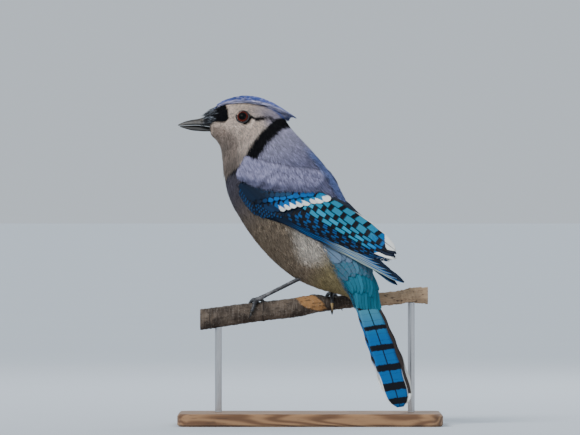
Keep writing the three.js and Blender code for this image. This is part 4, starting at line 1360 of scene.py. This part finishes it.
# %% [markdown]
# The bill is horn: two curved halves with a ridge above, a keel below and a sharp closed edge
# between. Each half is lofted from the same few sections as the solid, only finer, with the ridge
# sharpened and a nostril pressed in under the bristles.
# %% Bill
# x, the ridge's or keel's height, the mouth's height and half the width
UPPER_BILL = np.array([
    [-69.0, 222.5, 215.0, 5.0], [-72.7, 222.3, 215.2, 4.6], [-77.0, 221.8, 215.8, 4.0],
    [-80.6, 220.7, 216.2, 3.3], [-85.2, 220.0, 216.2, 2.6], [-89.5, 219.0, 216.0, 1.8],
    [-93.1, 217.6, 215.8, 1.1], [-95.3, 216.5, 215.7, 0.45],
])
LOWER_BILL = np.array([
    [-69.0, 214.7, 211.4, 4.7], [-72.7, 214.9, 211.6, 4.3], [-77.0, 215.5, 211.6, 3.7],
    [-80.6, 215.9, 211.9, 3.0], [-85.2, 215.9, 212.3, 2.3], [-89.5, 215.7, 213.4, 1.6],
    [-94.0, 215.5, 214.8, 0.5],
])
NOSTRIL = np.array([-77.6, 0.0, 219.2])
NOSTRIL_DEEP = 0.7
NOSTRIL_REACH = 0.8
BESIDE_RIDGE = 1.2
BILL_ROWS = 60
BILL_SIDES = 36


def horn_finish(name, dark, light, smoothest):
    f = Finish(name, Specular_IOR_Level=0.5)
    place = f.where()
    cloud = f.noise(place, 260.0)
    grain = f.noise(place, 1900.0)
    worn = f.edge(cloud, 0.5, 0.75)
    f.bump(grain, 0.18, 0.0002)
    return f.finish(f.mix(dark, light, worn), smoothest + grain * 0.22)


# each finish: its name, its dark and its light colour, its roughness at the smoothest
UPPER_HORN = horn_finish("upper_horn", (0.018, 0.016, 0.014), (0.105, 0.085, 0.062), 0.36)
LOWER_HORN = horn_finish("lower_horn", (0.002, 0.002, 0.002), (0.008, 0.007, 0.007), 0.45)


def bill_half(rows):
    """One half of the bill, rounded towards its ridge or keel and nearly flat at the mouth."""
    turns = np.linspace(0, math.tau, BILL_SIDES, endpoint=False)
    at = np.linspace(0, len(rows) - 1, BILL_ROWS)
    rings = []
    for x, far, mouth, wide in smooth(rows, at):
        lift = np.sin(turns)
        bent = np.sign(lift) * np.abs(lift) ** 0.85
        z = np.where(lift > 0, mouth + (far - mouth) * bent, mouth + 0.18 * (mouth - far) * lift)
        y = MID_Y + wide * np.cos(turns) * (1 - 0.12 * np.clip(lift, 0, 1))
        rings.append(np.stack([np.full(BILL_SIDES, x), y, z], 1))
    rings = np.array(rings)
    away = np.linalg.norm(rings[..., [0, 2]] - NOSTRIL[[0, 2]], axis=-1)
    aside = np.sign(rings[..., 1] - MID_Y) * (np.abs(rings[..., 1] - MID_Y) > BESIDE_RIDGE)
    rings[..., 1] -= aside * NOSTRIL_DEEP * np.exp(-(away / NOSTRIL_REACH) ** 2)
    if rows[0, 1] > rows[0, 2]:
        return loft(rings)
    return loft(rings[:, ::-1])


make_piece("horn_upper", *bill_half(UPPER_BILL), UPPER_HORN, slot="bill_black", replaces=("bill_upper",))
make_piece("horn_lower", *bill_half(LOWER_BILL), LOWER_HORN, slot="bill_black", replaces=("bill_lower",))

# %% [markdown]
# Stiff black bristles lie forward over the nostrils in two pointed tufts, a random share painted
# grey-white as a painted highlight, and all darker at the root as painted shade. They are blades
# like the coat's, but they start at the bill's root and point at its tip.
# %% Nasal bristles
BRISTLES = 520
BRISTLE_DARK = (0.008, 0.009, 0.012)
BRISTLE_HIGHLIGHT_GREY = (0.34, 0.37, 0.42)
BRISTLE_LONG = (4.0, 8.5)
BRISTLE_WIDE = (0.22, 0.38)


def bristle_finish():
    f = Finish("bristles", Roughness=0.7, Specular_IOR_Level=0.3)
    tone = f.number("tone")
    along = f.number("along")
    # painted highlight: a random share of the bristles is painted grey-white
    pale = f.edge(tone + f.noise(f.place("root"), 500.0) * 0.6, 1.0, 1.15)
    colour = f.mix(BRISTLE_DARK, BRISTLE_HIGHLIGHT_GREY, pale)
    # painted shade: darker towards the root, lighter at the tip
    return f.finish(f.shade(colour, 0.7 + along * 0.5))


def bristles():
    turn = RANDOM.uniform(18, 100, BRISTLES) * np.where(RANDOM.random(BRISTLES) < 0.5, 1, -1)
    angle = np.radians(turn)
    station = RANDOM.uniform(0.15, 1.5, BRISTLES)
    root = body_point(station, angle, -1.0)
    out = body_directions(station, angle)[2]
    long = RANDOM.uniform(*BRISTLE_LONG, BRISTLES)
    toward = np.stack([-np.ones(BRISTLES), 0.12 * np.sin(angle), -0.32 + 0.05 * np.cos(angle)], 1)
    middle = root + unit(toward) * (long * 0.5)[:, None] + out * 1.0
    tip = root + unit(toward) * long[:, None] + out * 0.2
    width = RANDOM.uniform(*BRISTLE_WIDE, BRISTLES)
    tone = RANDOM.random(BRISTLES)
    stored = {"root": root * MM, "tone": tone, "unwrap": body_unwrap(station, angle)}
    points, triangles, values, unwrap = tufts(root, middle, tip, out, width, stored)
    return make_piece("coat_bristles", points, triangles, bristle_finish(), values, unwrap, "face_grey")


bristles()

# %% [markdown]
# The eye is a dark red-brown iris round a wide pupil, with a smooth wet finish and a front that
# bulges a little. The ball is lofted from rings about the way it looks, and its finish reads how
# far each point lies from that axis. A beaded ring of bare dark skin, the rim of the lids, holds it.
# %% Eyes
EYE_RINGS = 40
EYE_SIDES = 48
PUPIL = (0.001, 0.001, 0.001)
PUPIL_RADIUS = 2.9
IRIS = (0.115, 0.013, 0.006)
IRIS_FIBRE = (0.05, 0.006, 0.003)
IRIS_RADIUS = 3.87
EYE_RIM = (0.003, 0.003, 0.003)
BULGE = 0.05


def eye_finish():
    f = Finish("eye", Roughness=0.04, Specular_IOR_Level=0.1)
    away = f.number("away")
    fibres = f.noise(f.point(f.number("turn") * 4.0, away * 2.0), 3.0)
    iris = f.mix(IRIS, IRIS_FIBRE, f.edge(fibres, 0.35, 0.7))
    colour = f.mix(PUPIL, iris, f.edge(away, PUPIL_RADIUS - 0.1, PUPIL_RADIUS + 0.1))
    return f.finish(f.mix(colour, EYE_RIM, f.edge(away, IRIS_RADIUS - 0.12, IRIS_RADIUS + 0.13)))


def frame_about(facing):
    side = unit(np.cross(facing, [0, 0, 1.0]))
    return side, np.cross(side, facing)


def eye(name, side):
    _, ball, facing = eye_place(side)
    across, up = frame_about(facing)
    tilt = np.linspace(0.02, math.pi - 0.02, EYE_RINGS)
    turn = np.linspace(0, math.tau, EYE_SIDES, endpoint=False)
    rings = []
    for angle in tilt:
        bulge = 1 + BULGE * math.exp(-((angle / 0.5) ** 2))
        circle = across * np.cos(turn)[:, None] + up * np.sin(turn)[:, None]
        rings.append(ball + EYE_RADIUS * (facing * math.cos(angle) * bulge + circle * math.sin(angle)))
    points, triangles = loft(rings)
    off = points - ball
    front = dot(off, facing)
    away = np.where(front > 0, np.linalg.norm(off - front[:, None] * facing, axis=1), 5.0)
    values = {"away": away, "turn": np.arctan2(dot(off, up), dot(off, across))}
    hidden = (f"eye_{name}",)
    return make_piece(f"ball_{name}", points, triangles, EYE, values, slot="eye_brown", replaces=hidden)


EYE = eye_finish()
LID = horn_finish("lid_skin", (0.008, 0.008, 0.009), (0.05, 0.045, 0.045), 0.6)
LID_BEADS = 30
LID_STEPS = 120
LID_SIDES = 12
LID_WIDE = 0.62
LID_THICK = 0.5


def lid_ring(name, side):
    lids, _, facing = eye_place(side)
    across, up = frame_about(facing)
    section = np.linspace(0, math.tau, LID_SIDES, endpoint=False)
    rings = []
    for turn in np.linspace(0, math.tau, LID_STEPS, endpoint=False):
        outward = across * math.cos(turn) + up * math.sin(turn)
        bead = 1 + 0.16 * math.sin(turn * LID_BEADS)
        droop = -0.25 * math.sin(turn) ** 2
        centre = lids + outward * (LID_RADIUS + droop * 0.5) + facing * (-0.25 + droop)
        wide = np.cos(section) * LID_WIDE * bead
        thick = np.sin(section) * LID_THICK * bead
        rings.append(centre + outward * wide[:, None] + facing * thick[:, None])
    points, triangles = loft(np.array(rings)[:, ::-1], hoop=True)
    return make_piece(f"lid_{name}", points, triangles, LID, slot="face_grey")


for side_name, side in SIDES.items():
    eye(side_name, side)
    lid_ring(side_name, side)

# %% [markdown]
# A perching bird's leg is a thin scaled shank with four toes that lock round the branch. Tubes
# swept along the solids' own lines get their scales from the radius itself: a raised step at each
# scute in front, and small pads under the toes.
# %% The branch's line
PERCH_Y = 8.0
# x, height and radius
PERCH = np.array([
    [-79.2, 75.8, 7.7], [-57.6, 78.7, 7.6], [-34.6, 81.7, 7.2], [-7.2, 85, 7.2], [3.6, 87.3, 6.9],
    [14.4, 87.3, 5.4], [28.8, 88.9, 4.9], [61.2, 91.3, 4.9], [72, 93.2, 5.4], [85, 93.1, 6.2],
])


def branch_at(x):
    """Height and radius of the branch at a place along it."""
    low, high = 0.0, float(len(PERCH) - 1)
    for _ in range(40):
        middle = (low + high) / 2
        if smooth(PERCH, middle)[0, 0] < x:
            low = middle
        else:
            high = middle
    return smooth(PERCH, low)[0, 1:]


def round_branch(x, degrees, off):
    z, radius = branch_at(x)
    turn = math.radians(degrees)
    return np.array([x, PERCH_Y + (radius + off) * math.sin(turn), z + (radius + off) * math.cos(turn)])


# %% Legs and toes
LEGS = {
    "left": {"ankle": (-10.8, -1.5, 103.8), "thigh": (-2, -2.5, 112), "cuff": (-14.2, -0.6, 101.8),
             "x": -38.4, "lean": -20, "hallux": -3.6},
    "right": {"ankle": (21.5, 4.5, 103), "thigh": (22, 2, 108), "cuff": (17, 6.6, 98.2),
              "x": 15.5, "lean": -6, "hallux": 0.4},
}
TARSUS_R = 1.35
TOE_R = 1.35
CLAW_R = 0.85
CLAW_LONG = 5.8
SHANK_HIDDEN = 5.0
SHANK_SCALE = 2.3
TOE_SCALE = 1.7
KNOB_RADIUS = 2.0
HUB_OFF = 2.1
# toe: which way it goes round the branch, how far it spreads along it, and its length
TOES = {"hallux": (-1, 0, 10), "inner": (1, -6, 12), "middle": (1, 0.4, 15), "outer": (1, 6, 12.5)}
TUBE_SIDES = 20


def tube(path, radii, sides=TUBE_SIDES):
    """A tube through points that are already close together."""
    path = np.asarray(path, float)
    radii = np.asarray(radii, float)
    if radii.ndim == 1:
        radii = np.repeat(radii[:, None], sides, 1)
    along = unit(np.gradient(path, axis=0))
    side = unit(np.cross(along[0], [0.1, 1.0, 0.2]))
    turn = np.linspace(0, math.tau, sides, endpoint=False)
    rings = []
    for centre, heading, radius in zip(path, along, radii):
        side = unit(side - heading * dot(side, heading))
        up = np.cross(heading, side)
        rings.append(centre + side * (np.cos(turn) * radius)[:, None] + up * (np.sin(turn) * radius)[:, None])
    return loft(np.array(rings)[:, ::-1])


def scaled(radius, length, step):
    """Radii with a raised edge at each scale."""
    count = max(int(length * 5), 24)
    place = np.linspace(0, length, count)
    saw = (place / step) % 1.0
    return place / length, radius * (1 + 0.10 * (1 - saw) ** 2 - 0.03)


def hub(leg):
    return round_branch(leg["x"], leg["lean"], HUB_OFF)


def shank(leg):
    ankle = np.array(leg["ankle"], float)
    foot = hub(leg)
    long = np.linalg.norm(ankle - foot)
    share, radius = scaled(TARSUS_R, long, SHANK_SCALE)
    top = ankle + (ankle - foot) * SHANK_HIDDEN / long
    path = top + (foot - top) * share[:, None]
    thick = radius * np.interp(share, [0, 0.1, 0.75, 0.94, 1], [1.35, 1.05, 1.0, 1.25, 1.1])
    at = np.linspace(-1, 1, 12)
    knob_path = foot + (ankle - foot) * (at * 0.07)[:, None]
    knob = KNOB_RADIUS * np.sqrt(np.clip(1 - at**2, 0.02, 1))
    return joined([tube(path, thick), tube(knob_path, knob)])


def toe_path(leg, toe, share):
    """Where a toe's middle line lies on the branch, from the hub at 0 to its claw at 1."""
    way, spread, long = TOES[toe]
    radius = branch_at(leg["x"])[1]
    turn = leg["lean"] + way * math.degrees(long / (radius + TOE_R)) * share
    x = leg["x"] + (leg["hallux"] if toe == "hallux" else 0) * share + spread * abs(share) ** 0.8
    return round_branch(x, turn, 0.3 + TOE_R + 0.45 * (1 - share))


def toe(leg, name):
    long = TOES[name][2]
    share, radius = scaled(TOE_R, long, TOE_SCALE)
    path = np.array([toe_path(leg, name, s) for s in share])
    turn = np.linspace(0, math.tau, TUBE_SIDES, endpoint=False)
    pad = 1 + 0.07 * np.sin(share * long * 1.15)[:, None] * np.cos(turn)[None]
    taper = np.interp(share, [0, 0.2, 0.9, 1], [1.15, 1.0, 0.86, 0.7])
    return tube(path, (radius * taper)[:, None] * pad)


def claw(leg, name):
    start = toe_path(leg, name, 0.97)
    before = toe_path(leg, name, 0.85)
    heading = unit(start - before)
    centre = np.array([start[0], PERCH_Y, branch_at(start[0])[0]])
    out = unit(start - centre)
    share = np.linspace(0, 1, 26)
    reach = CLAW_LONG * share
    bend = out * (1.3 * np.sin(share * math.pi) - 1.6 * share**2 + 0.5)[:, None]
    path = start + heading * reach[:, None] + bend * np.minimum(1, share * 3)[:, None]
    return tube(path, CLAW_R * 1.25 * (1 - share**1.4) + 0.06, 14)


SCALES = horn_finish("leg_scales", (0.022, 0.022, 0.026), (0.14, 0.135, 0.14), 0.36)
CLAW_HORN = horn_finish("claw_horn", (0.016, 0.014, 0.013), (0.10, 0.085, 0.06), 0.25)
PALE_HORN = horn_finish("claw_pale", (0.28, 0.19, 0.08), (0.45, 0.34, 0.18), 0.3)
for side_name, leg in LEGS.items():
    hidden = (f"tarsus_{side_name}",)
    make_piece(f"shank_{side_name}", *shank(leg), SCALES, slot="leg_black", replaces=hidden)
    for toe_name in TOES:
        end = f"{side_name}_{toe_name}"
        hidden = (f"toe_{end}",)
        make_piece(f"scaled_toe_{end}", *toe(leg, toe_name), SCALES, slot="leg_black", replaces=hidden)
        horn = PALE_HORN if end == "right_hallux" else CLAW_HORN
        hidden = (f"claw_{end}",)
        make_piece(f"hooked_claw_{end}", *claw(leg, toe_name), horn, slot="claw_black", replaces=hidden)

# %% [markdown]
# Soft feathers hide the upper leg like breeches. A short cone of skin stands in each thigh's
# solid, and loose tufts lie over it where the bare shank comes out of the belly.
# %% Thigh feathers
THIGH_TUFTS = 1300
THIGH_ROWS = 24
THIGH_RISE = 6.0
THIGH_RADII = [(0, 3.6), (0.6, 2.2), (0.9, 1.2), (1, 0.7)]
THIGH_STATION = 9.9
THIGH_ANGLE = 150.0


def thigh(side_name, leg):
    start = np.array(leg["thigh"], float) + np.array([0, 0, THIGH_RISE])
    end = np.array(leg["ankle"], float) * 0.45 + np.array(leg["thigh"], float) * 0.55
    share = np.linspace(0, 1, THIGH_ROWS)
    radii = np.interp(share, *zip(*THIGH_RADII))
    points, triangles = tube(start + (end - start) * share[:, None], radii)
    down = unit(end - start)
    side = unit(np.cross(down, [0, 1.0, 0]))
    front = np.cross(down, side)
    first, second = spread_evenly(THIGH_TUFTS, 3)
    at = np.repeat(first * 0.97, BLADES_A_TUFT)
    turn = np.repeat(second * math.tau, BLADES_A_TUFT)
    total = len(at)
    out = side * np.cos(turn)[:, None] + front * np.sin(turn)[:, None]
    root = start + (end - start) * at[:, None] + out * (np.interp(at, share, radii) - 0.3)[:, None]
    swing = np.cross(down, out) * RANDOM.normal(0, 0.22, total)[:, None]
    long = RANDOM.uniform(4.0, 8.0, total) * np.interp(at, [0, 1], [1.2, 0.7])
    heading = unit(down + swing - out * 0.1)
    middle = root + heading * (long * 0.5)[:, None] + out * 1.6
    tip = root + heading * long[:, None] + out * RANDOM.uniform(-0.1, 0.6, total)[:, None]
    width = RANDOM.uniform(0.4, 0.7, total)
    stored = {
        "station": np.full(total, THIGH_STATION),
        "angle": np.full(total, THIGH_ANGLE),
        "root": root * MM,
        "tone": np.repeat(RANDOM.random(THIGH_TUFTS), BLADES_A_TUFT),
        "unwrap": 0.02 + 0.9 * np.stack([turn / math.tau, at], 1),
    }
    skin_at = np.concatenate([np.repeat(share, TUBE_SIDES), [0, 1]])
    skin_turn = np.tile(np.linspace(0, 1, TUBE_SIDES, endpoint=False), THIGH_ROWS)
    skin_turn = np.concatenate([skin_turn, [0, 0]])
    values = {
        "station": np.full(len(points), THIGH_STATION),
        "angle": np.full(len(points), THIGH_ANGLE),
        "root": points * MM,
        # painted shade: along 0.2 paints the thigh's skin with the dark of the tuft roots
        "along": np.full(len(points), 0.2),
        "tone": np.full(len(points), 0.5),
    }
    bed = (points, triangles, values, 0.02 + 0.9 * np.stack([skin_turn, skin_at], 1))
    points, triangles, values, unwrap = with_bed(tufts(root, middle, tip, out, width, stored), bed)
    hidden = (f"thigh_{side_name}",)
    name = f"coat_thigh_{side_name}"
    return make_piece(name, points, triangles, PLUMAGE, values, unwrap, "belly_grey", hidden)


for side_name, leg in LEGS.items():
    thigh(side_name, leg)

# %% [markdown]
# The branch is grey-brown bark with a scar where a side twig broke away, raised rings like old
# bud scars and a rougher right end. Its shape is the solid's line with ridges and
# knobs added to the radius in code, and the finish colours the same places.
# %% Branch
BRANCH_ROWS = 420
BRANCH_SIDES = 72
SCAR_AT = 0.5
SCAR_LONG = 6.5
RINGS_AT = (-78.0, -71.3, -33.0, 47.0, 66.0)
CRACKS_AT = (-71.3, -33.0)
BARK_DARK = (0.040, 0.029, 0.022)
BARK_PALE = (0.115, 0.086, 0.064)
BARK_BANDS = (0.17, 0.135, 0.11)
BARK_TAN = (0.50, 0.34, 0.21)
BARE_WOOD = (0.30, 0.155, 0.06)
BARK_GRAIN = (0.025, 0.018, 0.014)
CRACK = (0.015, 0.012, 0.01)
LICHEN = (0.42, 0.40, 0.36)


def bark_finish():
    f = Finish("bark", Specular_IOR_Level=0.25)
    place = f.where()
    x = f.node("ShaderNodeSeparateXYZ", None, {0: place}, out=0) * 1000.0
    stretched = f.node("ShaderNodeMapping", None, {0: place, 3: (0.35, 1.0, 1.0)})
    grain = f.noise(stretched, 700.0, 6.0)
    patch = f.noise(place, 110.0, 4.0)
    speck = f.noise(place, 1500.0, 2.0)
    girdle = f.noise(f.node("ShaderNodeMapping", None, {0: place, 3: (1.0, 0.12, 0.12)}), 900.0, 4.0)
    colour = f.mix(BARK_DARK, BARK_PALE, f.edge(patch, 0.35, 0.68))
    colour = f.mix(colour, BARK_BANDS, f.edge(girdle, 0.5, 0.68) * 0.5)
    right = f.edge(x, 28.0, 46.0)
    colour = f.mix(colour, BARK_TAN, right * (0.45 + patch * 0.6))
    scar = f.number("scar")
    colour = f.mix(colour, BARE_WOOD, scar)
    colour = f.mix(colour, BARK_GRAIN, f.edge(grain, 0.54, 0.7) * 0.75)
    for crack in CRACKS_AT:
        in_crack = f.edge(0.5 - abs(x - crack + patch * 1.5), 0.0, 0.3)
        colour = f.mix(colour, CRACK, in_crack * 0.8)
    colour = f.mix(colour, LICHEN, f.edge(speck, 0.64, 0.72) * 0.5)
    f.bump(grain * 0.7 + speck * 0.3, 0.8, 0.0009)
    return f.finish(colour, 0.72 + patch * 0.2)


def branch():
    at = np.linspace(0, len(PERCH) - 1, BRANCH_ROWS)
    row = smooth(PERCH, at)
    turn = np.linspace(0, math.tau, BRANCH_SIDES, endpoint=False)
    x = row[:, 0][:, None]
    angle = turn[None]
    ridges = 0.10 * np.sin(angle * 7 + x * 0.11) + 0.08 * np.sin(angle * 13 - x * 0.23 + 1.0)
    lumps = 0.12 * np.sin(x * 0.9 + 2 * np.sin(angle * 2)) + 0.07 * np.sin(x * 2.3 + angle * 3)
    rough = np.interp(x, [20, 45], [0, 1])
    ridges = ridges * (1 + rough) + rough * 0.13 * np.sin(angle * 17 + x * 0.5 * np.sin(x * 0.05))
    rings = sum(0.35 * np.exp(-((x - place) / 0.7) ** 2) for place in RINGS_AT)
    around = np.angle(np.exp(1j * (angle + 1.2)))
    scar_off = np.hypot((x - SCAR_AT + around * 6.0) / SCAR_LONG, around / 1.15)
    scar_off = scar_off + 0.06 * np.sin(angle * 11 + x * 0.9)
    scar = np.clip(1.25 - scar_off, 0, 0.25) * 4
    scar_shape = 0.45 * np.exp(-((scar_off - 1) / 0.16) ** 2) - 0.35 * np.clip(1 - scar_off, 0, 1)
    radius = row[:, 2][:, None] + ridges + lumps + rings + scar_shape - 0.25
    points = np.stack([
        np.broadcast_to(x, radius.shape),
        PERCH_Y + radius * np.sin(angle),
        row[:, 1][:, None] + radius * np.cos(angle),
    ], 2)
    made, triangles = loft(points)
    values = {"scar": np.concatenate([scar.ravel(), [0, 0]])}
    return make_piece("bark_branch", made, triangles, bark_finish(), values, slot="bark", replaces=("perch",))


branch()

# %% [markdown]
# The base and its two rods aren't in the picture: they hold the branch up. Their solids have the
# right shape already, so they stay and only get a finish: oiled wood with long grain, and brushed
# steel.
# %% Stand
WOOD_DARK = (0.13, 0.062, 0.028)
WOOD_LIGHT = (0.30, 0.165, 0.08)
WOOD_PORES = (0.045, 0.022, 0.012)
STEEL_DARK = (0.42, 0.42, 0.43)
STEEL_LIGHT = (0.60, 0.60, 0.61)


def wood_finish():
    f = Finish("oiled_wood", Specular_IOR_Level=0.4)
    place = f.where()
    long_grain = f.node("ShaderNodeMapping", None, {0: place, 3: (0.12, 1.0, 1.0)})
    swirl = f.noise(long_grain, 34.0, 3.0)
    lines = (swirl * 16.0).wrap()
    pores = f.noise(long_grain, 900.0, 3.0)
    colour = f.mix(WOOD_DARK, WOOD_LIGHT, f.edge(abs(lines - 0.5), 0.05, 0.45))
    colour = f.mix(colour, WOOD_PORES, f.edge(pores, 0.6, 0.74) * 0.7)
    f.bump(pores, 0.15, 0.0003)
    return f.finish(colour, 0.36 + pores * 0.2)


def steel_finish():
    f = Finish("brushed_steel", Metallic=1.0)
    place = f.where()
    brushed = f.node("ShaderNodeMapping", None, {0: place, 3: (1.0, 1.0, 0.06)})
    lines = f.noise(brushed, 2600.0, 2.0)
    f.bump(lines, 0.12, 0.0001)
    return f.finish(f.mix(STEEL_DARK, STEEL_LIGHT, lines), 0.26 + lines * 0.18)


WOOD = wood_finish()
STEEL = steel_finish()
for node_name, material in (("stand_base", WOOD), ("stand_rod_left", STEEL), ("stand_rod_right", STEEL)):
    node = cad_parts[node_name]
    node.data.materials.clear()
    node.data.materials.append(material)
print("stand finished")

# %% [markdown]
# A plain pale floor runs out to the horizon and meets a sky of the same tone, so nothing behind
# the bird competes with it.
# %% Floor
FLOOR_HALF = 200000.0
FLOOR_SQUARES = 4
FLOOR_DARK = (0.55, 0.60, 0.66)
FLOOR_PALE = (0.57, 0.62, 0.67)


def floor():
    edge = np.linspace(-FLOOR_HALF, FLOOR_HALF, FLOOR_SQUARES + 1)
    x, y = np.meshgrid(edge, edge, indexing="ij")
    top = np.stack([x.ravel(), y.ravel(), np.full(x.size, -0.05)], 1)
    first = np.arange(FLOOR_SQUARES)
    corner = (first[:, None] * len(edge) + first[None]).ravel()
    beyond = corner + len(edge)
    halves = [np.stack([corner, beyond, corner + 1], 1), np.stack([corner + 1, beyond, beyond + 1], 1)]
    triangles = np.concatenate(halves)
    f = Finish("pale_floor", Roughness=0.9, Specular_IOR_Level=0.1)
    pale = f.mix(FLOOR_DARK, FLOOR_PALE, f.noise(f.where(), 3.0))
    made = make_piece("floor", top, triangles, f.finish(pale))


floor()
